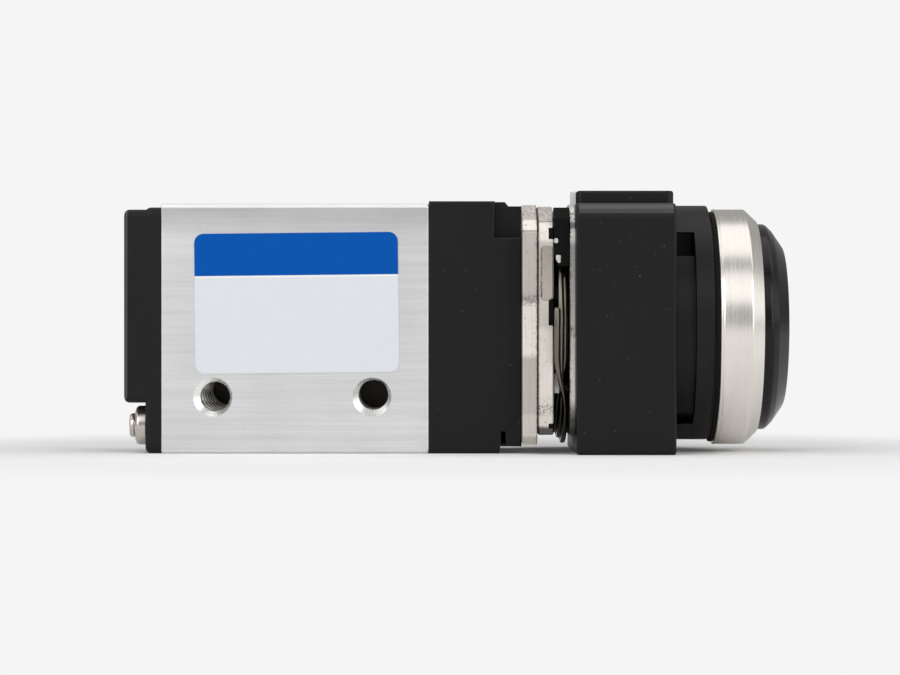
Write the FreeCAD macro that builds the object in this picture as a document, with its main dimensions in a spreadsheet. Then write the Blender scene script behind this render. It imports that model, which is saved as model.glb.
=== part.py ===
import FreeCAD, Part
import math
import os

import Sketcher

# Pushbutton valve.  +X runs along the button's axis towards the button, +Z is up and
# the labelled face looks along -Y.  The origin is the middle of the body's lower face.

SIZES = (
    # Valve body.
    ("body_length", 37.5, "body along the button axis"),
    ("body_depth", 22.0, "body from the labelled face to the back"),
    ("body_height", 35.0, "body from the resting face to the top"),
    ("body_edge", 0.65, "bevel on the body's long edges"),
    ("axis_rise", 0.3, "button axis above the body's middle"),
    ("bore_radius", 6.5, "bore that holds the seals and spacers"),
    ("tap_left_edge", 7.25, "left mounting hole from the body's left end"),
    ("tap_right_edge", 7.95, "right mounting hole from the body's right end"),
    ("tap_height", 7.9, "mounting holes above the resting face"),
    ("tap_radius", 2.1, "mounting hole, M5 thread core"),
    ("tap_depth", 7.0, "mounting hole depth"),
    ("tap_sink_radius", 2.72, "countersink at the mounting hole's mouth"),
    ("main_port_radius", 5.6, "supply and outlet ports"),
    ("outlet_floor", 1.7, "wall between an outlet port and the bore"),
    ("supply_floor", 2.3, "wall between the supply port and the bore"),
    ("outlet_edge", 11.75, "outlet ports from the body's ends"),
    ("exhaust_radius", 4.2, "exhaust ports"),
    ("exhaust_depth", 5.4, "depth of the exhaust ports"),
    ("exhaust_edge", 5.75, "exhaust ports from the body's ends"),
    ("passage_radius", 1.9, "passage from each port to the bore"),
    ("port_bevel", 0.6, "bevel at each port's mouth"),
    # Label.
    ("label_length", 28.5, "label along X"),
    ("label_height", 19.6, "label upright"),
    ("label_bottom", 11.3, "label's lower edge above the resting face"),
    ("label_shift", 0.25, "label's middle from the body's middle"),
    ("label_thickness", 0.16, "label thickness"),
    ("label_corner", 1.3, "label corner radius"),
    ("label_tilt", 0.6, "label's slight turn, degrees"),
    # Rear cover.
    ("cover_flange", 2.25, "thin part of the rear cover"),
    ("cover_thick", 3.0, "raised part of the rear cover"),
    ("cover_drop", 0.5, "rear cover's top below the body's top"),
    ("cover_step", 7.1, "lower edge of the raised part"),
    ("cover_inset_top", 0.3, "raised part in from the flange's top"),
    ("cover_inset_side", 0.6, "raised part in from the flange's sides"),
    ("cover_corner", 1.1, "corner radius of the flange"),
    ("cover_edge", 0.5, "rounded rim of the raised part"),
    ("cover_cavity_radius", 4.6, "spring cavity in the rear cover"),
    ("cover_cavity_floor", 1.7, "wall behind the spring cavity"),
    ("rear_screw_y_low", 7.6, "lower rear screws from the middle plane"),
    ("rear_screw_y_high", 6.4, "upper rear screws from the middle plane"),
    ("rear_screw_low", 3.9, "lower rear screws above the resting face"),
    ("rear_screw_high", 30.4, "upper rear screws above the resting face"),
    ("washer_radius", 2.75, "domed washer"),
    ("washer_height", 1.55, "domed washer height"),
    ("screw_head_radius", 1.7, "rear screw head"),
    ("screw_head_height", 0.85, "rear screw head height"),
    ("rear_shank_radius", 1.25, "rear screw shank"),
    ("rear_shank_length", 7.5, "rear screw shank below its washer's seat"),
    ("counterbore_radius", 3.1, "well round each upper rear screw"),
    ("hole_clearance", 0.06, "radial room round screws, pins and plain tubes"),
    # Face seals.
    ("face_seal_radius", 8.5, "mean radius of the face seals"),
    ("face_seal_section", 0.65, "section radius of the face seals"),
    ("seal_groove_half", 0.8, "half width of a face seal's groove"),
    # Spool.
    ("spool_radius", 4.0, "spool land"),
    ("spool_waist", 2.9, "spool between its lands"),
    ("running_clearance", 0.04, "radial room round sliding pieces"),
    ("end_spacer", 1.65, "last bore spacer along the bore"),
    ("bore_seal_width", 2.2, "bore seal along the bore"),
    ("spacer_bore", 4.4, "inner radius of a bore spacer"),
    ("spool_tail", 0.95, "spool's spring end inside the body's end"),
    ("spool_nose", 1.25, "spool's plunger end outside the body's end"),
    ("spool_well_radius", 2.75, "spring well in the spool"),
    ("spool_well_depth", 9.0, "depth of the spring well"),
    ("spool_wire", 0.28, "wire radius of the spool spring"),
    ("spool_spring_radius", 2.1, "mean radius of the spool spring"),
    ("spool_spring_turns", 6.0, "turns of the spool spring"),
    ("spool_spring_steps", 10, "straight steps in a turn of the spool spring"),
    # Adapter housing.
    ("adapter_length", 13.0, "adapter housing along X"),
    ("adapter_rise", 0.35, "adapter above the body's top"),
    ("adapter_ramp_start", 10.7, "ramp from the adapter's left face"),
    ("adapter_ramp_end", 11.2, "end of the ramp from the left face"),
    ("adapter_ramp_drop", 0.6, "drop of the ramp"),
    ("notch_length", 3.75, "corner notch along X"),
    ("notch_height", 5.1, "corner notch downwards"),
    ("notch_depth", 3.2, "corner notch inwards"),
    ("foot_length", 3.1, "raised part of the adapter's underside"),
    ("foot_rise", 1.0, "rise of that part"),
    ("slot_from_left", 10.05, "small upright slot from the left face"),
    ("slot_width", 0.7, "small upright slot width"),
    ("slot_bottom", 0.9, "lower end of the slot"),
    ("slot_height", 2.2, "height of the slot"),
    ("slot_depth", 1.5, "depth of the slot"),
    ("adapter_land", 5.0, "adapter's inner wall that the spool's nose passes"),
    # Plates.
    ("plate_half_depth", 15.0, "half depth of both clamp plates"),
    ("base_plate_thickness", 2.1, "base plate"),
    ("base_plate_bottom", 1.35, "base plate's lower edge"),
    ("base_plate_drop", 0.05, "base plate's upper edge below the body's top"),
    ("plate_seam", 0.1, "line between the two clamp plates"),
    ("lock_plate_thickness", 2.15, "lock plate"),
    ("lock_plate_bottom", 2.7, "lock plate's lower edge"),
    ("lock_plate_drop", 0.3, "lock plate's upper edge below the body's top"),
    ("plate_corner", 3.9, "upper corners of the plates"),
    ("plate_foot_corner", 1.1, "lower corners of the plates"),
    ("plate_relief", 0.7, "depth of the lock plate's edge reliefs"),
    ("relief_low", 3.6, "lowest relief, lower side"),
    ("relief_low_height", 0.7, "lowest relief, height"),
    ("relief_mid", 17.9, "middle relief, lower side"),
    ("relief_mid_height", 3.75, "middle relief, height"),
    ("relief_high", 28.8, "upper relief, lower side"),
    ("relief_high_height", 2.65, "upper relief, height"),
    ("plate_screw_side", 7.6, "plate screws from the middle plane"),
    ("plate_screw_rise", 9.5, "plate screws above and below the axis"),
    ("plate_screw_radius", 1.4, "plate screw shank"),
    ("plate_screw_head", 2.6, "plate screw's countersunk head"),
    ("plate_screw_bite", 4.3, "plate screw's length in the body"),
    # Gap between the lock plate and the backing plate.
    ("gap_length", 2.25, "gap between the lock plate and the backing plate"),
    ("clamp_wire", 0.3, "wire radius of the clamp spring"),
    ("clamp_spring_radius", 16.5, "mean radius of the clamp spring"),
    ("clamp_turns", 2.5, "turns of the clamp spring"),
    ("clamp_steps", 28, "straight steps in a turn of the clamp spring"),
    ("spacer_block_height", 6.6, "corner spacers upright"),
    ("spacer_block_drop", 0.65, "corner spacers' upper side below the body's top"),
    ("spacer_block_slope", 1.6, "sloping top of the corner spacers"),
    ("spacer_block_depth", 11.0, "corner spacers inwards"),
    ("spring_room", 0.35, "room between the clamp spring and the corner spacers"),
    ("stud_drop", 8.7, "stop stud below the axis"),
    ("stud_depth", 11.0, "stop stud in front of the middle plane"),
    ("stud_radius", 1.7, "stop stud's disc"),
    ("stud_disc", 0.5, "thickness of the stop stud's disc"),
    ("stud_shank", 0.8, "stop stud's shank"),
    ("stud_reach", 1.2, "stop stud's disc from the backing plate"),
    # Backing plate and head block.
    ("backing_thickness", 0.85, "backing plate"),
    ("backing_bottom", 2.6, "backing plate's lower edge"),
    ("backing_drop", 0.4, "backing plate's upper edge below the block's top"),
    ("tab_half_width", 10.8, "half width of the backing plate's tab"),
    ("tab_drop", 0.1, "top of the tab below the pad's top"),
    ("tab_shift", 0.25, "upright tab's step towards the pad"),
    ("tab_post", 1.3, "width of each of the tab's two upright posts"),
    ("block_length", 13.8, "head block along X"),
    ("block_depth", 35.0, "head block from front to back"),
    ("block_drop", 0.1, "head block's top below the body's top"),
    ("block_top_round", 2.3, "rounded upper long edges"),
    ("block_edge", 0.7, "rounded lower long edges"),
    ("pad_length", 13.6, "pad on the block along X"),
    ("pad_shift", 0.2, "pad's left end from the block's"),
    ("pad_half_depth", 11.5, "half depth of the pad"),
    ("pad_height", 1.9, "pad height"),
    ("pad_edge", 0.4, "rounded rim of the pad"),
    ("top_screw_x", 6.9, "top screw from the block's left face"),
    ("top_screw_radius", 3.4, "top screw's head"),
    ("top_screw_rise", 0.2, "top screw's head above the pad"),
    ("top_screw_sink", 1.5, "top screw's head inside the pad"),
    ("top_screw_shank", 1.9, "top screw's shank"),
    ("top_screw_bite", 3.4, "top screw's length in the block"),
    ("top_slot_width", 0.9, "slot of the top screw"),
    # Guide tube.
    ("tube_radius", 6.0, "guide tube"),
    ("tube_bite", 7.5, "guide tube inside the adapter"),
    ("tube_flange_radius", 8.0, "flange of the guide tube"),
    ("tube_flange", 1.2, "flange thickness"),
    ("block_web", 2.2, "block wall that the flange seats on"),
    # Mounting collar.
    ("spigot_radius", 11.0, "collar's spigot in the block"),
    ("spigot_length", 5.6, "collar's spigot"),
    ("lug_length", 2.85, "collar's lugs along X"),
    ("lug_depth_low", 3.05, "lower lug's height inside the flange's outline"),
    ("lug_depth_high", 3.55, "upper lug's height inside the flange's outline"),
    ("collar_neck_inset", 1.45, "collar's neck in from its flange"),
    ("collar_notch", 9.85, "latch notch under the upper lug, lower side from the axis"),
    ("collar_notch_floor", 6.0, "floor of the latch notch from the middle plane"),
    ("collar_inset", 0.1, "collar's flange in from the ring's outside"),
    ("collar_shift", 0.6, "collar's flange above the axis"),
    ("collar_edge", 0.15, "bevel on the flange's rims"),
    ("collar_flange", 2.85, "flange thickness"),
    ("collar_cavity", 9.0, "spring cavity in the collar"),
    ("collar_floor", 1.5, "floor of the spring cavity"),
    ("ring_wall", 0.9, "collar's sleeve in from the ring's outside"),
    ("sleeve_wall", 0.85, "wall of the sleeve"),
    ("sleeve_length", 5.0, "sleeve in front of the flange"),
    # Bezel ring.
    ("gasket_thickness", 0.5, "panel gasket"),
    ("gasket_inset", 0.4, "panel gasket in from the ring's outside"),
    ("ring_radius", 16.85, "bezel ring"),
    ("ring_straight", 4.5, "cylindrical part of the ring"),
    ("ring_bevel_length", 1.95, "bevelled front of the ring along X"),
    ("ring_lip_width", 1.9, "ring's mouth in from its outside"),
    ("ring_lip", 1.5, "lip at the ring's mouth along X"),
    ("ring_rim", 0.35, "rolled rear rim of the ring"),
    # Button.
    ("cap_gap", 0.25, "room between the cap and the ring's mouth"),
    ("cap_bevel_depth", 3.55, "flat face in from the cap's outside"),
    ("cap_skirt", 4.5, "cylindrical part of the cap"),
    ("cap_bevel_length", 2.6, "bevel of the cap along X"),
    ("cap_proud", 1.1, "cap's straight part proud of the ring"),
    ("cap_wall", 1.5, "cap wall"),
    ("boss_radius", 4.6, "boss inside the cap"),
    ("plunger_radius", 3.0, "plunger rod"),
    ("plunger_tip", 3.6, "plunger's tip behind the cap's face"),
    ("clip_thickness", 0.9, "plunger clip"),
    ("clip_radius", 5.0, "plunger clip's outer radius"),
    ("clip_groove", 0.5, "depth of the clip's groove in the plunger"),
    ("clip_gap", 0.05, "room between the clip and the collar"),
    ("button_wire", 0.45, "wire radius of the button spring"),
    ("button_spring_radius", 6.2, "mean radius of the button spring"),
    ("button_turns", 4.0, "turns of the button spring"),
    ("button_steps", 14, "straight steps in a turn of the button spring"),
)

document = FreeCAD.newDocument("PushbuttonValve")
sheet = document.addObject("Spreadsheet::Sheet", "Sizes")
for row, (alias, number, meaning) in enumerate(SIZES, start=1):
    sheet.set(f"A{row}", meaning)
    sheet.set(f"B{row}", str(number))
    sheet.setAlias(f"B{row}", alias)
document.recompute()

# Stations along X, as expressions over the sheet.
S = "Sizes."
BODY_END = "Sizes.body_length / 2"
COVER_FACE = "-(Sizes.body_length / 2 + Sizes.cover_flange)"
COVER_BACK = "-(Sizes.body_length / 2 + Sizes.cover_flange + Sizes.cover_thick)"
ADAPTER_END = "(Sizes.body_length / 2 + Sizes.adapter_length)"
BASE_END = f"({ADAPTER_END} + Sizes.base_plate_thickness)"
LOCK_START = f"({BASE_END} + Sizes.plate_seam)"
LOCK_END = f"({LOCK_START} + Sizes.lock_plate_thickness)"
BACKING_START = f"({LOCK_END} + Sizes.gap_length)"
BLOCK_START = f"({BACKING_START} + Sizes.backing_thickness)"
BLOCK_END = f"({BLOCK_START} + Sizes.block_length)"
FLANGE_START = f"({BLOCK_END} + Sizes.lug_length)"
FLANGE_END = f"({FLANGE_START} + Sizes.collar_flange)"
RING_START = f"({FLANGE_END} + Sizes.gasket_thickness)"
RING_BEND = f"({RING_START} + Sizes.ring_straight)"
RING_FRONT = f"({RING_BEND} + Sizes.ring_bevel_length)"
CAP_SHOULDER = f"({RING_FRONT} + Sizes.cap_proud)"
CAP_FRONT = f"({CAP_SHOULDER} + Sizes.cap_bevel_length)"
CAP_BACK = f"({CAP_SHOULDER} - Sizes.cap_skirt)"
CAP_INSIDE = f"({CAP_FRONT} - Sizes.cap_wall - 0.3)"
COLLAR_REAR = f"({BLOCK_END} - Sizes.spigot_length)"
AXIS = "(Sizes.body_height / 2 + Sizes.axis_rise)"
PITCH = "((Sizes.body_length / 2 - Sizes.end_spacer - Sizes.bore_seal_width / 2) / 2.5)"
SPOOL_TAIL = "(Sizes.body_length / 2 - Sizes.spool_tail)"
SPOOL_NOSE = "(Sizes.body_length / 2 + Sizes.spool_nose)"
BASE_TOP = "(Sizes.body_height - Sizes.base_plate_drop)"
LOCK_TOP = "(Sizes.body_height - Sizes.lock_plate_drop)"
SPACER_TOP = "(Sizes.body_height - Sizes.spacer_block_drop)"
BLOCK_TOP = "(Sizes.body_height - Sizes.block_drop)"
BACKING_TOP = f"({BLOCK_TOP} - Sizes.backing_drop)"
PAD_TOP = f"({BLOCK_TOP} + Sizes.pad_height)"

# Radii that follow the bezel ring's.
COLLAR_RADIUS = "(Sizes.ring_radius - Sizes.collar_inset)"
COLLAR_NECK = f"({COLLAR_RADIUS} - Sizes.collar_neck_inset)"
LUG_LOW = f"({COLLAR_RADIUS} - Sizes.lug_depth_low)"
LUG_HIGH = f"({COLLAR_RADIUS} - Sizes.lug_depth_high)"
SLEEVE_RADIUS = "(Sizes.ring_radius - Sizes.ring_wall)"
SLEEVE_BORE = f"({SLEEVE_RADIUS} - Sizes.sleeve_wall)"
GASKET_RADIUS = "(Sizes.ring_radius - Sizes.gasket_inset)"
RING_MOUTH = "(Sizes.ring_radius - Sizes.ring_lip_width)"
CAP_RADIUS = f"({RING_MOUTH} - Sizes.cap_gap)"
CAP_FACE = f"({CAP_RADIUS} - Sizes.cap_bevel_depth)"
STUD_HEIGHT = f"({AXIS} - Sizes.stud_drop)"

sub_parts = []


def value(expression):
    """The number that an expression over the sheet gives."""
    result = sheet.evalExpression(expression.replace(S, ""))
    return float(getattr(result, "Value", result))


def bind(item, **expressions):
    """Bind properties of an object, written with _ for the dots, to the sheet."""
    for name, expression in expressions.items():
        item.setExpression(name.replace("_at_", "."), expression)


def new_body(label, x="0", y="0", z="0"):
    """A body whose placement is bound to the sheet."""
    body = document.addObject("PartDesign::Body", label)
    body.Label = label
    body.AllowCompound = True
    bind(body, Placement_at_Base_at_x=x, Placement_at_Base_at_y=y, Placement_at_Base_at_z=z)
    sub_parts.append(body)
    return body


def finish(body, feature):
    """Make a feature the body's tip and bring the document up to date."""
    body.Tip = feature
    document.recompute()
    return feature


def new_sketch(body, role, offset=None):
    """A sketch on one of the body's own origin planes, moved along its normal."""
    sketch = body.newObject("Sketcher::SketchObject", body.Label + "_sketch")
    origin_plane = next(item for item in body.Origin.OriginFeatures if item.Role == role)
    sketch.AttachmentSupport = [(origin_plane, "")]
    sketch.MapMode = "FlatFace"
    if offset:
        bind(sketch, AttachmentOffset_at_Base_at_z=offset)
    return sketch


def hold(sketch, kind, index, point, expression):
    """Hold a point of the sketch at a distance from its origin given by the sheet."""
    number = sketch.addConstraint(Sketcher.Constraint(kind, -1, 1, index, point, value(expression)))
    sketch.setExpression(f"Constraints[{number}]", expression)


def draw_polygon(sketch, corners):
    """A closed outline whose corners are pairs of expressions."""
    first = sketch.GeometryCount
    spots = [FreeCAD.Vector(value(across), value(along), 0) for across, along in corners]
    for index, spot in enumerate(spots):
        following = spots[(index + 1) % len(spots)]
        sketch.addGeometry(Part.LineSegment(spot, following))
    for index in range(len(spots)):
        following = first + (index + 1) % len(spots)
        sketch.addConstraint(Sketcher.Constraint("Coincident", first + index, 2, following, 1))
    for index, (across, along) in enumerate(corners):
        hold(sketch, "DistanceX", first + index, 1, across)
        hold(sketch, "DistanceY", first + index, 1, along)
    return sketch


def draw_box(sketch, left, right, low, high):
    """A rectangle between four expressions."""
    return draw_polygon(sketch, ((left, low), (right, low), (right, high), (left, high)))


def draw_circle(sketch, across, along, radius):
    """A circle whose centre and radius are expressions."""
    centre = FreeCAD.Vector(value(across), value(along), 0)
    index = sketch.addGeometry(Part.Circle(centre, FreeCAD.Vector(0, 0, 1), value(radius)))
    hold(sketch, "DistanceX", index, 3, across)
    hold(sketch, "DistanceY", index, 3, along)
    number = sketch.addConstraint(Sketcher.Constraint("Radius", index, value(radius)))
    sketch.setExpression(f"Constraints[{number}]", radius)
    return sketch


def pad(body, sketch, length, midplane=False, reverse=False):
    """Extrude a sketch by a length from the sheet."""
    feature = body.newObject("PartDesign::Pad", body.Label + "_pad")
    feature.Profile = sketch
    feature.Midplane = midplane
    feature.Reversed = reverse
    bind(feature, Length=length)
    return finish(body, feature)


def pocket(body, sketch, length=None, midplane=False, reverse=False):
    """Cut a sketch to a depth, or right through when no depth is given."""
    before = body.Shape.Volume
    feature = body.newObject("PartDesign::Pocket", body.Label + "_pocket")
    feature.Profile = sketch
    feature.Midplane = midplane
    feature.Reversed = reverse
    if length is None:
        feature.Type = "ThroughAll"
    else:
        bind(feature, Length=length)
    finish(body, feature)
    if body.Shape.Volume > before - 1e-4:
        raise RuntimeError("pocket cut nothing in " + body.Label)
    return feature


def turn(body, corners, cut=False):
    """Revolve an outline of (distance along X, radius) pairs about the body's X axis."""
    sketch = draw_polygon(new_sketch(body, "XZ_Plane"), corners)
    kind = "PartDesign::Groove" if cut else "PartDesign::Revolution"
    feature = body.newObject(kind, body.Label + "_turn")
    feature.Profile = sketch
    feature.ReferenceAxis = (sketch, ["H_Axis"])
    feature.Angle = 360
    return finish(body, feature)


def edges_where(feature, test):
    """Names of the edges that pass a test on the edge."""
    edges = enumerate(feature.Shape.Edges, start=1)
    return [f"Edge{number}" for number, edge in edges if test(edge)]


def dress(body, kind, test, size):
    """Fillet or chamfer the tip's edges that pass a test."""
    tip = body.Tip
    names = edges_where(tip, test)
    if not names:
        raise RuntimeError("no edge to dress in " + body.Label)
    feature = body.newObject("PartDesign::" + kind, body.Label + "_" + kind.lower())
    feature.Base = (tip, names)
    bind(feature, **{("Radius" if kind == "Fillet" else "Size"): size})
    return finish(body, feature)


def runs_along(edge, axis):
    """Whether a straight edge runs along one of the axes 0, 1, 2."""
    if edge.Curve.TypeId != "Part::GeomLine":
        return False
    direction = edge.Curve.Direction
    return abs(abs((direction.x, direction.y, direction.z)[axis]) - 1) < 1e-6


def on_plane(edge, axis, station):
    """Whether an edge lies in the plane that crosses an axis at a station."""
    bounds = edge.BoundBox
    low = (bounds.XMin, bounds.YMin, bounds.ZMin)[axis]
    high = (bounds.XMax, bounds.YMax, bounds.ZMax)[axis]
    return abs(low - station) < 1e-4 and abs(high - station) < 1e-4


def drill(body, role, spots, radius, depth, offset=None, reverse=False):
    """Cut round holes at (across, along) places on an origin plane."""
    sketch = new_sketch(body, role, offset)
    for across, along in spots:
        draw_circle(sketch, across, along, radius)
    return pocket(body, sketch, depth, reverse=reverse)


def coil(label, radius, wire, turns, steps, start, end, phase=0.0):
    """Helical spring of six-sided wire between two stations, in straight steps."""
    count = round(value(turns) * value(steps))
    span = value(f"{end} - {start} - 2 * {wire}")
    angles = [2 * math.pi * step / value(steps) for step in range(count + 1)]
    size = value(radius)
    points = [
        FreeCAD.Vector(size * math.cos(angle), size * math.sin(angle), span * step / count)
        for step, angle in enumerate(angles)
    ]
    path = document.addObject("Part::Feature", label + "_path")
    path.Shape = Part.makePolygon(points)
    section = document.addObject("Part::RegularPolygon", label + "_section")
    section.Polygon = 6
    bind(section, Circumradius=wire, Placement_at_Base_at_x=radius)
    section.Placement.Rotation = FreeCAD.Rotation(FreeCAD.Vector(1, 0, 0), 90)
    sweep = document.addObject("Part::Sweep", label)
    sweep.Label = label
    sweep.Sections = [section]
    sweep.Spine = (path, [])
    sweep.Solid = True
    sweep.Transition = "Right corner"
    along = FreeCAD.Rotation(FreeCAD.Vector(0, 1, 0), 90)
    sweep.Placement.Rotation = FreeCAD.Rotation(FreeCAD.Vector(1, 0, 0), phase).multiply(along)
    bind(
        sweep,
        Placement_at_Base_at_x=f"{start} + {wire}",
        Placement_at_Base_at_z=AXIS,
    )
    document.recompute()
    sub_parts.append(sweep)
    return sweep


def make_valve_body():
    """Extruded aluminium block with its bore, ports and two threaded mounting holes."""
    body = new_body("valve_body")
    outline = new_sketch(body, "YZ_Plane")
    draw_box(outline, "-Sizes.body_depth / 2", "Sizes.body_depth / 2", "0", "Sizes.body_height")
    pad(body, outline, "Sizes.body_length", midplane=True)
    dress(body, "Chamfer", lambda edge: runs_along(edge, 0), "Sizes.body_edge")
    sketch = draw_circle(new_sketch(body, "YZ_Plane"), "0", AXIS, "Sizes.bore_radius")
    pocket(body, sketch, "Sizes.body_length + 2", midplane=True)
    # Supply and two exhausts open downwards, the two outlets upwards.
    top = "Sizes.body_height"
    outlet = f"({BODY_END} - Sizes.outlet_edge)"
    exhaust = f"({BODY_END} - Sizes.exhaust_edge)"
    outlets = (("-" + outlet, "0"), (outlet, "0"))
    exhausts = (("-" + exhaust, "0"), (exhaust, "0"))
    supply = (("0", "0"),)
    upper = f"{top} - {AXIS} - Sizes.bore_radius - Sizes.outlet_floor"
    lower = f"{AXIS} - Sizes.bore_radius - Sizes.supply_floor"
    drill(body, "XY_Plane", outlets, "Sizes.main_port_radius", upper, top)
    drill(body, "XY_Plane", outlets, "Sizes.passage_radius", f"{top} - {AXIS}", top)
    drill(body, "XY_Plane", supply, "Sizes.main_port_radius", lower, reverse=True)
    drill(body, "XY_Plane", exhausts, "Sizes.exhaust_radius", "Sizes.exhaust_depth", reverse=True)
    drill(body, "XY_Plane", supply + exhausts, "Sizes.passage_radius", AXIS, reverse=True)
    height = value("Sizes.body_height")
    wide = value("Sizes.exhaust_radius") - 1e-4

    def rims_port(edge):
        """Whether an edge is the mouth of an outlet or an exhaust."""
        if edge.Curve.TypeId != "Part::GeomCircle" or edge.Curve.Radius < wide:
            return False
        below = on_plane(edge, 2, 0) and abs(edge.Curve.Center.x) > wide
        return below or on_plane(edge, 2, height)

    dress(body, "Chamfer", rims_port, "Sizes.port_bevel")
    # Screw holes in both end faces.
    rear = rear_screw_spots()
    bite = "Sizes.rear_shank_length - Sizes.cover_flange + 0.5"
    gap = "Sizes.rear_shank_radius + Sizes.hole_clearance"
    drill(body, "YZ_Plane", rear, gap, bite, "-Sizes.body_length / 2", reverse=True)
    front = plate_screw_spots()
    gap = "Sizes.plate_screw_radius + Sizes.hole_clearance"
    drill(body, "YZ_Plane", front, gap, "Sizes.plate_screw_bite + 0.5", BODY_END)
    # Blind mounting holes with a countersunk mouth and a drilled point.
    taps = new_sketch(body, "XZ_Plane", "Sizes.body_depth / 2")
    for across in (f"Sizes.tap_left_edge - {BODY_END}", f"{BODY_END} - Sizes.tap_right_edge"):
        draw_circle(taps, across, "Sizes.tap_height", "Sizes.tap_radius")
    document.recompute()
    before = body.Shape.Volume
    hole = body.newObject("PartDesign::Hole", "mounting_holes")
    hole.Profile = taps
    hole.Threaded = False
    hole.DepthType = "Dimension"
    hole.DrillPoint = "Angled"
    hole.HoleCutType = "Countersink"
    hole.HoleCutCountersinkAngle = 90
    bind(
        hole,
        Diameter="2 * Sizes.tap_radius",
        Depth="Sizes.tap_depth",
        HoleCutDiameter="2 * Sizes.tap_sink_radius",
    )
    finish(body, hole)
    if body.Shape.Volume > before - 1:
        raise RuntimeError("mounting holes cut nothing")


def make_label():
    """Thin label on the front face, turned a little."""
    body = new_body("label")
    outline = new_sketch(body, "XZ_Plane")
    half = "Sizes.label_length / 2"
    rise = "Sizes.label_height / 2"
    draw_box(outline, "-" + half, half, "-" + rise, rise)
    pad(body, outline, "Sizes.label_thickness")
    dress(body, "Fillet", lambda edge: runs_along(edge, 1), "Sizes.label_corner")
    bind(
        body,
        Placement_at_Base_at_x="Sizes.label_shift",
        Placement_at_Base_at_y="-Sizes.body_depth / 2",
        Placement_at_Base_at_z="Sizes.label_bottom + Sizes.label_height / 2",
    )
    body.Placement.Rotation = FreeCAD.Rotation(FreeCAD.Vector(0, -1, 0), value("Sizes.label_tilt"))
    document.recompute()


def rear_screw_spots():
    """Centres of the four rear screws in the YZ plane."""
    rows = ("low", "high")
    return [
        (f"{sign}Sizes.rear_screw_y_{row}", f"Sizes.rear_screw_{row}")
        for row in rows
        for sign in ("-", "")
    ]


def plate_screw_spots():
    """Centres of the four plate screws in the YZ plane."""
    side = "Sizes.plate_screw_side"
    rise = "Sizes.plate_screw_rise"
    return [(f"{y}{side}", f"{AXIS} {z} {rise}") for z in ("-", "+") for y in ("-", "")]


def make_rear_cover():
    """Plastic end cover: a full flange and a raised part that stops above two screws."""
    body = new_body("rear_cover", x="-Sizes.body_length / 2")
    half = "Sizes.body_depth / 2"
    outline = new_sketch(body, "YZ_Plane")
    draw_box(outline, "-" + half, half, "0", "Sizes.body_height - Sizes.cover_drop")
    pad(body, outline, "Sizes.cover_flange", reverse=True)
    dress(body, "Fillet", lambda edge: runs_along(edge, 0), "Sizes.cover_corner")
    side = "Sizes.body_depth / 2 - Sizes.cover_inset_side"
    top = "Sizes.body_height - Sizes.cover_drop - Sizes.cover_inset_top"
    raised = new_sketch(body, "YZ_Plane", "-Sizes.cover_flange")
    draw_box(raised, f"-({side})", side, "Sizes.cover_step", top)
    pad(body, raised, "Sizes.cover_thick", reverse=True)
    back = value("-Sizes.cover_flange - Sizes.cover_thick")
    outside = value("Sizes.cover_step") - 1e-3

    def corner_of_raised_part(edge):
        """Whether an edge is one of the raised part's long corners."""
        reaches_back = edge.BoundBox.XMin < back + 0.01
        return runs_along(edge, 0) and edge.BoundBox.ZMin > outside and reaches_back

    dress(body, "Fillet", corner_of_raised_part, "Sizes.cover_corner")
    dress(body, "Fillet", lambda edge: on_plane(edge, 0, back), "Sizes.cover_edge")
    cavity = draw_circle(new_sketch(body, "YZ_Plane"), "0", AXIS, "Sizes.cover_cavity_radius")
    depth = "Sizes.cover_flange + Sizes.cover_thick - Sizes.cover_cavity_floor"
    pocket(body, cavity, depth, reverse=False)
    seal_groove(body, -1)
    spots = rear_screw_spots()
    radius = "Sizes.rear_shank_radius + Sizes.hole_clearance"
    drill(body, "YZ_Plane", spots, radius, None)
    wells = new_sketch(body, "YZ_Plane", "-Sizes.cover_flange")
    for across, along in spots[2:]:
        draw_circle(wells, across, along, "Sizes.counterbore_radius")
    pocket(body, wells, "Sizes.cover_thick + 1")


def seal_groove(body, side):
    """Round groove for a face seal in the face at the body's own origin plane."""
    sketch = new_sketch(body, "YZ_Plane")
    draw_circle(sketch, "0", AXIS, "Sizes.face_seal_radius + Sizes.seal_groove_half")
    draw_circle(sketch, "0", AXIS, "Sizes.face_seal_radius - Sizes.seal_groove_half")
    pocket(body, sketch, "2 * Sizes.face_seal_section", reverse=side > 0)


def make_face_seal(label, start, side):
    """Square-section ring that lies in a face groove."""
    ring = new_body(label, x=start, z=AXIS)
    thick = f"{side} * 2 * Sizes.face_seal_section"
    inner = "Sizes.face_seal_radius - Sizes.face_seal_section"
    outer = "Sizes.face_seal_radius + Sizes.face_seal_section"
    turn(ring, (("0", inner), ("0", outer), (thick, outer), (thick, inner)))


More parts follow.
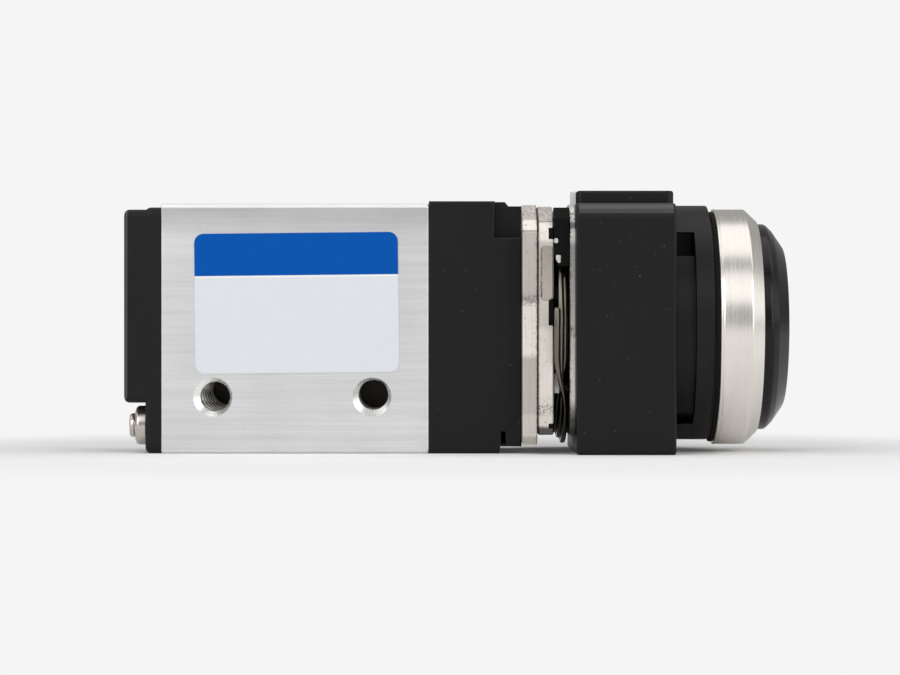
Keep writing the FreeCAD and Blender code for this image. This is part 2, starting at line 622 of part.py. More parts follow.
def make_rear_screws():
    """Four screws with domed washers; the upper pair sits in wells."""
    names = ("front_low", "back_low", "front_high", "back_high")
    for name, (across, along) in zip(names, rear_screw_spots()):
        washer = new_body("rear_washer_" + name, COVER_FACE, across, along)
        bore = "Sizes.rear_shank_radius + Sizes.hole_clearance"
        corners = (
            ("0", bore),
            ("0", "Sizes.washer_radius"),
            ("-0.6 * Sizes.washer_height", "Sizes.washer_radius"),
            ("-0.88 * Sizes.washer_height", "0.94 * Sizes.washer_radius"),
            ("-Sizes.washer_height", "0.8 * Sizes.washer_radius"),
            ("-Sizes.washer_height", bore),
        )
        turn(washer, corners)
        seat = f"{COVER_FACE} - Sizes.washer_height"
        screw = new_body("rear_screw_" + name, seat, across, along)
        shank = "Sizes.washer_height + Sizes.rear_shank_length"
        corners = (
            (shank, "0"),
            (shank, "0.7 * Sizes.rear_shank_radius"),
            (shank + " - 0.4", "Sizes.rear_shank_radius"),
            ("0", "Sizes.rear_shank_radius"),
            ("0", "Sizes.screw_head_radius"),
            ("-0.45 * Sizes.screw_head_height", "Sizes.screw_head_radius"),
            ("-Sizes.screw_head_height", "0.72 * Sizes.screw_head_radius"),
            ("-Sizes.screw_head_height", "0"),
        )
        turn(screw, corners)
        cross = new_sketch(screw, "YZ_Plane", "-Sizes.screw_head_height")
        long = "0.62 * Sizes.screw_head_radius"
        thin = "0.14 * Sizes.screw_head_radius"
        plus = [
            (long, thin), (thin, thin), (thin, long), (f"-{thin}", long), (f"-{thin}", thin),
            (f"-{long}", thin), (f"-{long}", f"-{thin}"), (f"-{thin}", f"-{thin}"),
            (f"-{thin}", f"-{long}"), (thin, f"-{long}"), (thin, f"-{thin}"), (long, f"-{thin}"),
        ]
        draw_polygon(cross, plus)
        pocket(screw, cross, "0.6 * Sizes.screw_head_height", reverse=True)


def make_spool_train():
    """Spool, the seals and spacers round it, and the spool's return spring."""
    pitch = PITCH
    # Six seals divide the bore into five chambers.
    seals = new_body("bore_seals", z=AXIS)
    inner = "Sizes.spool_radius + Sizes.running_clearance"
    outer = "Sizes.bore_radius"
    half = "Sizes.bore_seal_width / 2"
    start = f"-2.5 * {pitch}"
    corners = (
        (f"{start} - {half}", inner),
        (f"{start} - {half}", outer),
        (f"{start} + {half}", outer),
        (f"{start} + {half}", inner),
    )
    first = turn(seals, corners)
    row = seals.newObject("PartDesign::LinearPattern", "seal_row")
    row.Originals = [first]
    row.Direction = (next(o for o in seals.Origin.OriginFeatures if o.Role == "X_Axis"), [""])
    row.Occurrences = 6
    bind(row, Length=f"5 * {pitch}")
    finish(seals, row)
    # Drilled spacers fill the room between the seals.
    spacers = new_body("bore_spacers", z=AXIS)
    rim = "Sizes.spacer_bore"
    width = f"({pitch} - Sizes.bore_seal_width)"
    left = f"(-2 * {pitch} - {width} / 2)"
    corners = (
        (left, rim),
        (left, outer),
        (f"{left} + {width}", outer),
        (f"{left} + {width}", rim),
    )
    first = turn(spacers, corners)
    row = spacers.newObject("PartDesign::LinearPattern", "spacer_row")
    row.Originals = [first]
    row.Direction = (next(o for o in spacers.Origin.OriginFeatures if o.Role == "X_Axis"), [""])
    row.Occurrences = 5
    bind(row, Length=f"4 * {pitch}")
    finish(spacers, row)
    ports = new_sketch(spacers, "XY_Plane")
    for step in (-2, -1, 0, 1, 2):
        draw_circle(ports, f"{step} * {pitch}", "0", f"0.28 * {width}")
    pocket(spacers, ports, "4 * Sizes.bore_radius", midplane=True)
    near = f"(2.5 * {pitch} + {half})"
    far = BODY_END
    for sign in ("", "-"):
        corners = (
            (f"{sign}{near}", rim),
            (f"{sign}{near}", outer),
            (f"{sign}({far})", outer),
            (f"{sign}({far})", rim),
        )
        turn(spacers, corners)
    # Three lands: with the button out, the middle chamber feeds the left outlet.
    spool = new_body("spool", z=AXIS)
    land = "Sizes.spool_radius"
    waist = "Sizes.spool_waist"
    tail = f"-{SPOOL_TAIL}"
    nose = SPOOL_NOSE
    corners = (
        (tail, "Sizes.spool_well_radius"),
        (tail, f"{land} - 0.3"),
        (f"{tail} + 0.3", land),
        (f"-1.24 * {pitch}", land),
        (f"-1.24 * {pitch}", waist),
        (f"-0.24 * {pitch}", waist),
        (f"-0.24 * {pitch}", land),
        (f"0.78 * {pitch}", land),
        (f"0.78 * {pitch}", waist),
        (f"1.78 * {pitch}", waist),
        (f"1.78 * {pitch}", land),
        (f"{nose} - 0.3", land),
        (nose, f"{land} - 0.3"),
        (nose, "0"),
        (f"{tail} + Sizes.spool_well_depth", "0"),
        (f"{tail} + Sizes.spool_well_depth", "Sizes.spool_well_radius"),
    )
    turn(spool, corners)
    coil(
        "spool_spring",
        "Sizes.spool_spring_radius",
        "Sizes.spool_wire",
        "Sizes.spool_spring_turns",
        "Sizes.spool_spring_steps",
        f"({COVER_BACK} + Sizes.cover_cavity_floor)",
        f"(-{SPOOL_TAIL} + Sizes.spool_well_depth)",
    )


def make_adapter():
    """Plastic housing between the body and the clamp plates."""
    body = new_body("adapter", x=BODY_END)
    end = "Sizes.adapter_length"
    top = "Sizes.body_height + Sizes.adapter_rise"
    shape = (
        ("0", "0"),
        (f"{end} - Sizes.foot_length", "0"),
        (f"{end} - Sizes.foot_length + 0.1", "Sizes.foot_rise"),
        (end, "Sizes.foot_rise"),
        (end, f"{top} - Sizes.adapter_ramp_drop"),
        ("Sizes.adapter_ramp_end", f"{top} - Sizes.adapter_ramp_drop"),
        ("Sizes.adapter_ramp_start", top),
        ("0", top),
    )
    pad(body, draw_polygon(new_sketch(body, "XZ_Plane"), shape), "Sizes.body_depth", midplane=True)
    shortest = value("Sizes.adapter_length - Sizes.foot_length") - 0.1

    def is_long(edge):
        """Whether an edge is one of the housing's four long ones."""
        return runs_along(edge, 0) and edge.Length > shortest

    dress(body, "Fillet", is_long, "Sizes.body_edge")
    front = "-Sizes.body_depth / 2"
    level = f"{top} - Sizes.notch_height"
    for sign in ("", "-"):
        outer = f"{sign}({front} - 1)"
        notch = new_sketch(body, "YZ_Plane", f"{end} - Sizes.notch_length")
        inner = f"{sign}({front} + Sizes.notch_depth)"
        draw_box(notch, outer, inner, level, "Sizes.body_height + 2")
        pocket(body, notch, "Sizes.notch_length + 1", reverse=True)
        slot = new_sketch(body, "YZ_Plane", "Sizes.slot_from_left")
        inner = f"{sign}({front} + Sizes.slot_depth)"
        draw_box(slot, outer, inner, "Sizes.slot_bottom", "Sizes.slot_bottom + Sizes.slot_height")
        pocket(body, slot, "Sizes.slot_width", reverse=True)
    nose = "Sizes.spool_radius + 0.3"
    drill(body, "YZ_Plane", (("0", AXIS),), nose, None, reverse=True)
    bore = "Sizes.tube_radius + Sizes.hole_clearance"
    depth = f"{end} - Sizes.adapter_land"
    drill(body, "YZ_Plane", (("0", AXIS),), bore, depth, "Sizes.adapter_land", reverse=True)
    seal_groove(body, 1)
    gap = "Sizes.plate_screw_radius + Sizes.hole_clearance"
    drill(body, "YZ_Plane", plate_screw_spots(), gap, None, reverse=True)


def plate_outline(body, low, high):
    """Plate seen along X: two-facet upper corners and small lower corners."""
    half = "Sizes.plate_half_depth"
    corner = "Sizes.plate_corner"
    foot = "Sizes.plate_foot_corner"
    right = (
        (f"{half} - {foot}", low),
        (half, f"{low} + {foot}"),
        (half, f"{high} - {corner}"),
        (f"{half} - 0.28 * {corner}", f"{high} - 0.6 * {corner}"),
        (f"{half} - {corner}", high),
    )
    left = tuple((f"-({across})", along) for across, along in reversed(right))
    return draw_polygon(new_sketch(body, "YZ_Plane"), right + left)


def make_plates():
    """Base plate, lock plate with edge reliefs, and their four countersunk screws."""
    tube = "Sizes.tube_radius + Sizes.hole_clearance"
    gap = "Sizes.plate_screw_radius + Sizes.hole_clearance"
    base = new_body("base_plate", x=ADAPTER_END)
    outline = plate_outline(base, "Sizes.base_plate_bottom", BASE_TOP)
    pad(base, outline, "Sizes.base_plate_thickness + Sizes.plate_seam")
    rim = draw_polygon_rim(base)
    pocket(base, rim, "Sizes.plate_seam", reverse=True)
    drill(base, "YZ_Plane", (("0", AXIS),), tube, None, reverse=True)
    drill(base, "YZ_Plane", plate_screw_spots(), gap, None, reverse=True)
    lock = new_body("lock_plate", x=LOCK_START)
    outline = plate_outline(lock, "Sizes.lock_plate_bottom", LOCK_TOP)
    pad(lock, outline, "Sizes.lock_plate_thickness")
    for level in ("low", "mid", "high"):
        relief = new_sketch(lock, "YZ_Plane", "Sizes.lock_plate_thickness - Sizes.plate_relief")
        low = f"Sizes.relief_{level}"
        high = f"{low} + Sizes.relief_{level}_height"
        for sign in ("", "-"):
            inner = f"{sign}(Sizes.plate_half_depth - 3.5)"
            draw_box(relief, inner, f"{sign}(Sizes.plate_half_depth + 1)", low, high)
        pocket(lock, relief, "Sizes.plate_relief + 1", reverse=True)
    drill(lock, "YZ_Plane", (("0", AXIS),), tube, None, reverse=True)
    drill(lock, "YZ_Plane", plate_screw_spots(), gap, None, reverse=True)
    head = "Sizes.plate_screw_head + Sizes.hole_clearance"
    for across, along in plate_screw_spots():
        sink = lock.newObject("PartDesign::SubtractiveCone", "sink")
        sink.AttachmentSupport = [(origin_of(lock, "YZ_Plane"), "")]
        sink.MapMode = "FlatFace"
        bind(
            sink,
            Radius1="Sizes.plate_screw_radius + Sizes.hole_clearance",
            Radius2=head,
            Height="Sizes.plate_screw_head - Sizes.plate_screw_radius",
            AttachmentOffset_at_Base_at_x=across,
            AttachmentOffset_at_Base_at_y=along,
            AttachmentOffset_at_Base_at_z=(
                "Sizes.lock_plate_thickness - (Sizes.plate_screw_head - Sizes.plate_screw_radius)"
            ),
        )
        finish(lock, sink)
    names = ("front_low", "back_low", "front_high", "back_high")
    reach = (
        "(Sizes.lock_plate_thickness + Sizes.plate_seam + Sizes.base_plate_thickness"
        " + Sizes.adapter_length + Sizes.plate_screw_bite)"
    )
    for name, (across, along) in zip(names, plate_screw_spots()):
        screw = new_body("plate_screw_" + name, LOCK_END, across, along)
        corners = (
            ("0", "0"),
            ("0", "Sizes.plate_screw_head"),
            ("-(Sizes.plate_screw_head - Sizes.plate_screw_radius)", "Sizes.plate_screw_radius"),
            (f"-{reach} + 0.5", "Sizes.plate_screw_radius"),
            (f"-{reach}", "0.65 * Sizes.plate_screw_radius"),
            (f"-{reach}", "0"),
        )
        turn(screw, corners)
        socket = new_sketch(screw, "YZ_Plane")
        side = "0.5 * Sizes.plate_screw_head"
        hexagon = [
            (f"{side} * {math.cos(math.radians(60 * step)):.6f}",
             f"{side} * {math.sin(math.radians(60 * step)):.6f}")
            for step in range(6)
        ]
        draw_polygon(socket, hexagon)
        pocket(screw, socket, "0.9", reverse=False)


def origin_of(body, role):
    """One of the body's own origin planes or axes."""
    return next(item for item in body.Origin.OriginFeatures if item.Role == role)


def draw_polygon_rim(body):
    """Narrow band round the base plate's edge that leaves the line between the plates."""
    half = "Sizes.plate_half_depth"
    sketch = new_sketch(body, "YZ_Plane", "Sizes.base_plate_thickness")
    draw_box(sketch, f"-({half} + 1)", f"{half} + 1", "0", "Sizes.body_height + 2")
    draw_box(sketch, f"-({half} - 1.5)", f"{half} - 1.5",
             "Sizes.base_plate_bottom + 2", f"{BASE_TOP} - 2")
    return sketch


def make_gap_pieces():
    """Clamp spring, corner spacers and stop stud between the plates."""
    coil(
        "clamp_spring",
        "Sizes.clamp_spring_radius",
        "Sizes.clamp_wire",
        "Sizes.clamp_turns",
        "Sizes.clamp_steps",
        LOCK_END,
        BACKING_START,
        82,
    )
    clear = "Sizes.clamp_spring_radius + Sizes.clamp_wire + Sizes.spring_room"
    for name, sign in (("front", "-"), ("back", "")):
        block = new_body("corner_spacer_" + name, x=LOCK_END)
        outer = f"{sign}Sizes.plate_half_depth"
        inner = f"{sign}(Sizes.plate_half_depth - Sizes.spacer_block_depth)"
        sloped = f"{sign}(Sizes.plate_half_depth - Sizes.spacer_block_slope)"
        shape = (
            (inner, f"{SPACER_TOP} - Sizes.spacer_block_height"),
            (outer, f"{SPACER_TOP} - Sizes.spacer_block_height"),
            (outer, f"{SPACER_TOP} - Sizes.spacer_block_slope"),
            (sloped, SPACER_TOP),
            (inner, SPACER_TOP),
        )
        pad(block, draw_polygon(new_sketch(block, "YZ_Plane"), shape), "Sizes.gap_length")
        room = draw_circle(new_sketch(block, "YZ_Plane"), "0", AXIS, clear)
        pocket(block, room, None, reverse=True)
    stud = new_body("stop_stud", BACKING_START, "-Sizes.stud_depth", STUD_HEIGHT)
    tip = "-Sizes.stud_reach"
    corners = (
        ("Sizes.backing_thickness", "0"),
        ("Sizes.backing_thickness", "Sizes.stud_shank"),
        (f"{tip} + Sizes.stud_disc", "Sizes.stud_shank"),
        (f"{tip} + Sizes.stud_disc", "Sizes.stud_radius"),
        (tip, "Sizes.stud_radius"),
        (tip, "0"),
    )
    turn(stud, corners)


def make_backing_plate():
    """Thin plate on the block's left face with a stepped tab that stands behind the pad."""
    body = new_body("backing_plate", x=BACKING_START)
    outline = plate_outline(body, "Sizes.backing_bottom", BACKING_TOP)
    pad(body, outline, "Sizes.backing_thickness")
    tab = new_sketch(body, "YZ_Plane")
    half = "Sizes.tab_half_width"
    draw_box(tab, f"-{half}", half, f"{BACKING_TOP} - 1", BLOCK_TOP)
    pad(body, tab, "Sizes.backing_thickness")
    upright = new_sketch(body, "YZ_Plane", "Sizes.tab_shift")
    inner = f"{half} - Sizes.tab_post"
    draw_box(upright, inner, half, BLOCK_TOP, f"{PAD_TOP} - Sizes.tab_drop")
    draw_box(upright, f"-{half}", f"-({inner})", BLOCK_TOP, f"{PAD_TOP} - Sizes.tab_drop")
    pad(body, upright, "Sizes.backing_thickness - 0.1")
    tube = "Sizes.tube_radius + Sizes.hole_clearance"
    drill(body, "YZ_Plane", (("0", AXIS),), tube, None, reverse=True)
    gap = "Sizes.stud_shank + Sizes.hole_clearance"
    spot = (("-Sizes.stud_depth", STUD_HEIGHT),)
    drill(body, "YZ_Plane", spot, gap, None, reverse=True)


def make_block():
    """Head block, the pad on it and the pad's screw."""
    body = new_body("head_block", x=BLOCK_START)
    half = "Sizes.block_depth / 2"
    outline = new_sketch(body, "YZ_Plane")
    draw_box(outline, "-" + half, half, "0", BLOCK_TOP)
    pad(body, outline, "Sizes.block_length")
    middle = value(f"{BLOCK_TOP} / 2")
    end = value("Sizes.block_length")

    def is_upper(edge):
        """Whether an edge is one of the two upper long ones."""
        return runs_along(edge, 0) and edge.BoundBox.ZMin > middle

    def is_lower(edge):
        """Whether an edge is one of the two lower long ones."""
        return runs_along(edge, 0) and edge.BoundBox.ZMax < 1

    def rims_end(edge):
        """Whether an edge rims one of the two end faces."""
        return on_plane(edge, 0, 0) or on_plane(edge, 0, end)

    dress(body, "Fillet", is_upper, "Sizes.block_top_round")
    dress(body, "Fillet", is_lower, "Sizes.block_edge")
    dress(body, "Fillet", rims_end, "0.5 * Sizes.block_edge")
    tube = "Sizes.tube_radius + Sizes.hole_clearance"
    spigot = "Sizes.spigot_radius + Sizes.hole_clearance"
    drill(body, "YZ_Plane", (("0", AXIS),), tube, None, reverse=True)
    depth = "Sizes.block_length - Sizes.block_web + 1"
    drill(body, "YZ_Plane", (("0", AXIS),), spigot, depth, "Sizes.block_web", reverse=True)
    shank = "Sizes.top_screw_shank + Sizes.hole_clearance"
    spot = (("Sizes.top_screw_x", "0"),)
    drill(body, "XY_Plane", spot, shank, "Sizes.top_screw_bite + 0.3", BLOCK_TOP)
    top = new_body("top_pad", x=f"{BLOCK_START} + Sizes.pad_shift", z=BLOCK_TOP)
    outline = new_sketch(top, "XY_Plane")
    deep = "Sizes.pad_half_depth"
    draw_box(outline, "0", "Sizes.pad_length", "-" + deep, deep)
    pad(top, outline, "Sizes.pad_height")
    height = value("Sizes.pad_height")
    dress(top, "Fillet", lambda edge: runs_along(edge, 2), "2 * Sizes.pad_edge")
    dress(top, "Fillet", lambda edge: on_plane(edge, 2, height), "Sizes.pad_edge")
    well = "Sizes.top_screw_radius + Sizes.hole_clearance"
    spot = (("Sizes.top_screw_x - Sizes.pad_shift", "0"),)
    drill(top, "XY_Plane", spot, well, "Sizes.top_screw_sink", "Sizes.pad_height")
    drill(top, "XY_Plane", spot, shank, None, "Sizes.pad_height")
    seat = f"{PAD_TOP} - Sizes.top_screw_sink"
    screw = new_body("top_screw", f"{BLOCK_START} + Sizes.top_screw_x", "0", seat)
    head = draw_circle(new_sketch(screw, "XY_Plane"), "0", "0", "Sizes.top_screw_radius")
    pad(screw, head, "Sizes.top_screw_sink + Sizes.top_screw_rise")
    crown = value("Sizes.top_screw_sink + Sizes.top_screw_rise")
    dress(screw, "Chamfer", lambda edge: on_plane(edge, 2, crown), "Sizes.top_screw_rise")
    stem = draw_circle(new_sketch(screw, "XY_Plane"), "0", "0", "Sizes.top_screw_shank")
    length = "Sizes.pad_height - Sizes.top_screw_sink + Sizes.top_screw_bite"
    pad(screw, stem, length, reverse=True)
    slot = new_sketch(screw, "XY_Plane", "Sizes.top_screw_sink + Sizes.top_screw_rise")
    wide = "Sizes.top_screw_radius + 1"
    thin = "Sizes.top_slot_width / 2"
    draw_box(slot, "-" + thin, thin, f"-({wide})", wide)
    pocket(screw, slot, "0.9")


def make_guide_tube():
    """Hollow clamping bolt that carries the block on the plates and guides the plunger."""
    body = new_body("guide_tube", x=BLOCK_START, z=AXIS)
    left = f"-({BLOCK_START} - {ADAPTER_END} + Sizes.tube_bite)"
    inner = "Sizes.plunger_radius + Sizes.running_clearance"
    seat = "Sizes.block_web"
    corners = (
        (left, inner),
        (left, "Sizes.tube_radius - 0.5"),
        (f"{left} + 0.5", "Sizes.tube_radius"),
        (seat, "Sizes.tube_radius"),
        (seat, "Sizes.tube_flange_radius"),
        (f"{seat} + Sizes.tube_flange - 0.3", "Sizes.tube_flange_radius"),
        (f"{seat} + Sizes.tube_flange", "Sizes.tube_flange_radius - 0.3"),
        (f"{seat} + Sizes.tube_flange", inner),
    )
    turn(body, corners)


def make_collar():
    """Plastic collar: spigot, neck, two lugs, a flange set high and the ring's sleeve."""
    body = new_body("mounting_collar", x=BLOCK_END, z=AXIS)
    rear = "-Sizes.spigot_length"
    guide = "Sizes.plunger_radius + Sizes.running_clearance"
    cavity = "Sizes.collar_cavity"
    flange = "(Sizes.lug_length + Sizes.collar_flange)"
    tip = f"{flange} + Sizes.sleeve_length"
    corners = (
        (rear, "0"),
        (rear, "Sizes.spigot_radius - 0.5"),
        (f"{rear} + 0.5", "Sizes.spigot_radius"),
        ("0.1", "Sizes.spigot_radius"),
        ("0.1", SLEEVE_BORE),
        (flange, SLEEVE_BORE),
        (flange, SLEEVE_RADIUS),
        (tip, SLEEVE_RADIUS),
        (tip, "0"),
    )
    turn(body, corners)
    disc = new_sketch(body, "YZ_Plane")
    draw_circle(disc, "0", "Sizes.collar_shift", COLLAR_RADIUS)
    pad(body, disc, flange)
    least = value(COLLAR_RADIUS) - 1e-4

    def rims_flange(edge):
        """Whether an edge is one of the flange's two round rims."""
        return edge.Curve.TypeId == "Part::GeomCircle" and edge.Curve.Radius > least

    dress(body, "Chamfer", rims_flange, "Sizes.collar_edge")
    # The front and back are cut away between the lugs, down to the neck.
    wide = f"({COLLAR_RADIUS} + 2)"
    recess = new_sketch(body, "YZ_Plane")
    draw_box(recess, f"-{wide}", wide, f"-{LUG_LOW}", LUG_HIGH)
    draw_circle(recess, "0", "0", "Sizes.spigot_radius")
    pocket(body, recess, "Sizes.lug_length", reverse=True)
    neck = draw_circle(new_sketch(body, "YZ_Plane"), "0", "0", COLLAR_NECK)
    pad(body, neck, "Sizes.lug_length + 0.1")
    # One latch notch opens in front under the upper lug, its twin behind over the lower one.
    for sign, edge in (("-", LUG_HIGH), ("", f"-{LUG_LOW}")):
        notch = new_sketch(body, "YZ_Plane")
        side = "Sizes.collar_notch" if sign else "-Sizes.collar_notch"
        draw_box(notch, f"{sign}{wide}", f"{sign}Sizes.collar_notch_floor", side, edge)
        pocket(body, notch, "Sizes.lug_length", reverse=True)
    hollow = (
        (f"{rear} - 1", "0"),
        (f"{rear} - 1", guide),
        (f"{rear} + Sizes.collar_floor", guide),
        (f"{rear} + Sizes.collar_floor", cavity),
        (flange, cavity),
        (flange, SLEEVE_BORE),
        (f"{tip} + 1", SLEEVE_BORE),
        (f"{tip} + 1", "0"),
    )
    turn(body, hollow, cut=True)


def make_ring():
    """Panel gasket, bevelled bezel ring with a rolled rear rim, and the seal behind it."""
    gasket = new_body("panel_gasket", x=FLANGE_END, z=AXIS)
    inner = f"{SLEEVE_RADIUS} + Sizes.hole_clearance"
    thick = "Sizes.gasket_thickness"
    corners = (
        ("0", inner), ("0", GASKET_RADIUS), (thick, GASKET_RADIUS), (thick, inner)
    )
    turn(gasket, corners)
    ring = new_body("bezel_ring", x=RING_START, z=AXIS)
    full = "Sizes.ring_straight + Sizes.ring_bevel_length"
    outer = "Sizes.ring_radius"
    rim = "Sizes.ring_rim"
    mouth = RING_MOUTH
    drop = f"({outer} - {mouth})"
    bend = "Sizes.ring_straight"
    corners = [
        ("0", inner),
        ("0", f"{outer} - 0.5 * {rim}"),
        (f"0.3 * {rim}", outer),
        (f"1.2 * {rim}", outer),
        (f"1.5 * {rim}", f"{outer} - 0.3 * {rim}"),
        (f"2 * {rim}", f"{outer} - 0.05"),
        (f"{bend} - 0.3", f"{outer} - 0.05"),
        (f"{bend} + 0.05", f"{outer} - 0.09 * {drop}"),
        (f"{bend} + 0.35", f"{outer} - 0.22 * {drop}"),
        (f"{full} - 0.35", f"{mouth} + 0.27 * {drop}"),
        (f"{full} - 0.08", f"{mouth} + 0.1 * {drop}"),
        (full, f"{mouth} + 0.02"),
        (f"{full} - 0.12", mouth),
        (f"{full} - Sizes.ring_lip", mouth),
        (f"{full} - Sizes.ring_lip", inner),
    ]
    turn(ring, corners)
    seal = new_body("bezel_seal", x=f"{FLANGE_END} + Sizes.sleeve_length", z=AXIS)
    room = "(Sizes.gasket_thickness + Sizes.ring_straight + Sizes.ring_bevel_length"
    width = f"{room} - Sizes.ring_lip - Sizes.sleeve_length)"
    corners = (
        ("0", SLEEVE_BORE),
        ("0", SLEEVE_RADIUS),
        (width, SLEEVE_RADIUS),
        (width, SLEEVE_BORE),
    )
    turn(seal, corners)


def make_button():
    """Cap, plunger, clip and the button's spring."""
    cap = new_body("button_cap", x=CAP_BACK, z=AXIS)
    skirt = "Sizes.cap_skirt"
    front = "Sizes.cap_skirt + Sizes.cap_bevel_length"
    outer = CAP_RADIUS
    wall = "Sizes.cap_wall"
    face = CAP_FACE
    inside = f"{front} - {wall} - 0.3"
    corners = (
        ("0", f"{outer} - {wall}"),
        ("0", f"{outer} - 0.2"),
        ("0.2", outer),
        (f"{skirt} - 0.35", outer),
        (f"{skirt} + 0.35", f"{outer} - 0.42"),
        (f"{skirt} + 0.85", f"{outer} - 0.98"),
        (f"{front} - 0.35", f"{face} + 0.6"),
        (front, f"{face} - 0.35"),
        (front, "0"),
        (f"{front} - Sizes.plunger_tip", "0"),
        (f"{front} - Sizes.plunger_tip", "Sizes.plunger_radius + Sizes.hole_clearance"),
        ("0.5", "Sizes.plunger_radius + Sizes.hole_clearance"),
        ("0.5", "Sizes.boss_radius"),
        (inside, "Sizes.boss_radius"),
        (inside, f"{face} - 1.2"),
        (f"{skirt} - 0.6", f"{outer} - {wall}"),
    )
    turn(cap, corners)
    plunger = new_body("plunger", x=f"{SPOOL_NOSE} + Sizes.clip_gap", z=AXIS)
    start = f"({SPOOL_NOSE} + Sizes.clip_gap)"
    length = f"({CAP_FRONT} - Sizes.plunger_tip - {start})"
    clip_end = f"({COLLAR_REAR} - Sizes.clip_gap - {start})"
    rod = "Sizes.plunger_radius"
    groove = f"{rod} - Sizes.clip_groove"
    corners = (
        ("0", "0"),
        ("0", f"{rod} - 0.4"),
        ("0.4", rod),
        (f"{clip_end} - Sizes.clip_thickness", rod),
        (f"{clip_end} - Sizes.clip_thickness", groove),
        (clip_end, groove),
        (clip_end, rod),
        (f"{length} - 0.3", rod),
        (length, f"{rod} - 0.3"),
        (length, "0"),
    )
    turn(plunger, corners)
    clip = new_body(
        "plunger_clip", x=f"{COLLAR_REAR} - Sizes.clip_gap - Sizes.clip_thickness", z=AXIS
    )
    outline = new_sketch(clip, "YZ_Plane")
    draw_circle(outline, "0", "0", "Sizes.clip_radius")
    draw_circle(outline, "0", "0", f"{groove} + 0.03")
    pad(clip, outline, "Sizes.clip_thickness")
    mouth = new_sketch(clip, "YZ_Plane")
    draw_box(mouth, "-0.75 * Sizes.plunger_radius", "0.75 * Sizes.plunger_radius",
             "-(Sizes.clip_radius + 1)", "-0.4 * Sizes.plunger_radius")
    pocket(clip, mouth, None, reverse=True)
    coil(
        "button_spring",
        "Sizes.button_spring_radius",
        "Sizes.button_wire",
        "Sizes.button_turns",
        "Sizes.button_steps",
        f"({COLLAR_REAR} + Sizes.collar_floor)",
        CAP_INSIDE,
    )


def check_document():
    """Stop when any object failed or any sub-part's shape isn't a valid solid."""
    for item in document.Objects:
        if "Invalid" in item.State or "Error" in item.State:
            raise RuntimeError("failed object: " + item.Name)
    for item in sub_parts:
        shape = item.Shape
        if shape.isNull() or not shape.isValid() or not shape.Solids:
            raise RuntimeError("bad shape: " + item.Label)


def write_parts():
    """Write one STEP file for each sub-part, named after its label."""
    os.makedirs("parts", exist_ok=True)
    for item in sub_parts:
        item.Shape.exportStep(os.path.join("parts", item.Label + ".step"))


make_valve_body()
make_label()
make_rear_cover()
make_face_seal("rear_seal", f"-({BODY_END})", -1)
make_rear_screws()
make_spool_train()
make_adapter()
make_face_seal("adapter_seal", BODY_END, 1)
make_plates()
make_gap_pieces()
make_backing_plate()
make_block()
make_guide_tube()
make_collar()
make_ring()
make_button()
document.recompute()
check_document()
write_parts()
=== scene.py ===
"""Looks of a pushbutton valve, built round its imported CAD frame.

Sizes in the classes are millimetres; meshes are written in metres.  +X runs along the
button's axis towards the button, +Z is up and the labelled face looks along -Y.
"""

from __future__ import annotations

import logging
import math
from dataclasses import dataclass, field
from enum import Enum
from typing import Any, Iterable, Sequence

import bmesh
import bpy
import numpy as np
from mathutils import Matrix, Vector
from mathutils.geometry import tessellate_polygon

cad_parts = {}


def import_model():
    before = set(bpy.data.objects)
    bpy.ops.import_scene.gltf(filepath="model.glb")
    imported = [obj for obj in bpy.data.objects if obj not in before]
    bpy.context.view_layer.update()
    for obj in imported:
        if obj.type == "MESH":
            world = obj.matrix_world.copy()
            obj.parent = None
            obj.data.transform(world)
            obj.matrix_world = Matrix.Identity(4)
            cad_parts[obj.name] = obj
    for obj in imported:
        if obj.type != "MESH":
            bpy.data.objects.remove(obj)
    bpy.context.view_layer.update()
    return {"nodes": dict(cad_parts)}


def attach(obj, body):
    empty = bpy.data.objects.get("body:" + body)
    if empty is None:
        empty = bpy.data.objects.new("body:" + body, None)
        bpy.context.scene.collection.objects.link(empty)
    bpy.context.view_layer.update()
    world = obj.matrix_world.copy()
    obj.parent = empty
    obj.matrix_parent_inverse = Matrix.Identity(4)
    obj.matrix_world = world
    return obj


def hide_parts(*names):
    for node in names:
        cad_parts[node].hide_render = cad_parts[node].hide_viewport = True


LOG = logging.getLogger("valve")
MM = 0.001
SMOOTH_BELOW = math.radians(32)
ROUND = 96


class Axis(Enum):
    """Direction in which an outline is carried; its plane keeps the other two in order."""

    X = 0
    Y = 1
    Z = 2

    def place(self, across: Any, along: Any, depth: Any) -> np.ndarray:
        """Put plane coordinates and a depth into space.

        Args:
            across: first coordinate in the plane.
            along: second coordinate in the plane.
            depth: coordinate along the axis.

        Returns:
            Points whose last dimension is x, y, z.
        """
        across, along, depth = np.broadcast_arrays(across, along, depth)
        points = np.empty(across.shape + (3,))
        first, second = [index for index in range(3) if index != self.value]
        points[..., first] = across
        points[..., second] = along
        points[..., self.value] = depth
        return points

    def lay(self, outline: np.ndarray, depth: Any) -> np.ndarray:
        """Put outlines of plane points, shaped (..., 2), at their depths."""
        return self.place(outline[..., 0], outline[..., 1], depth)


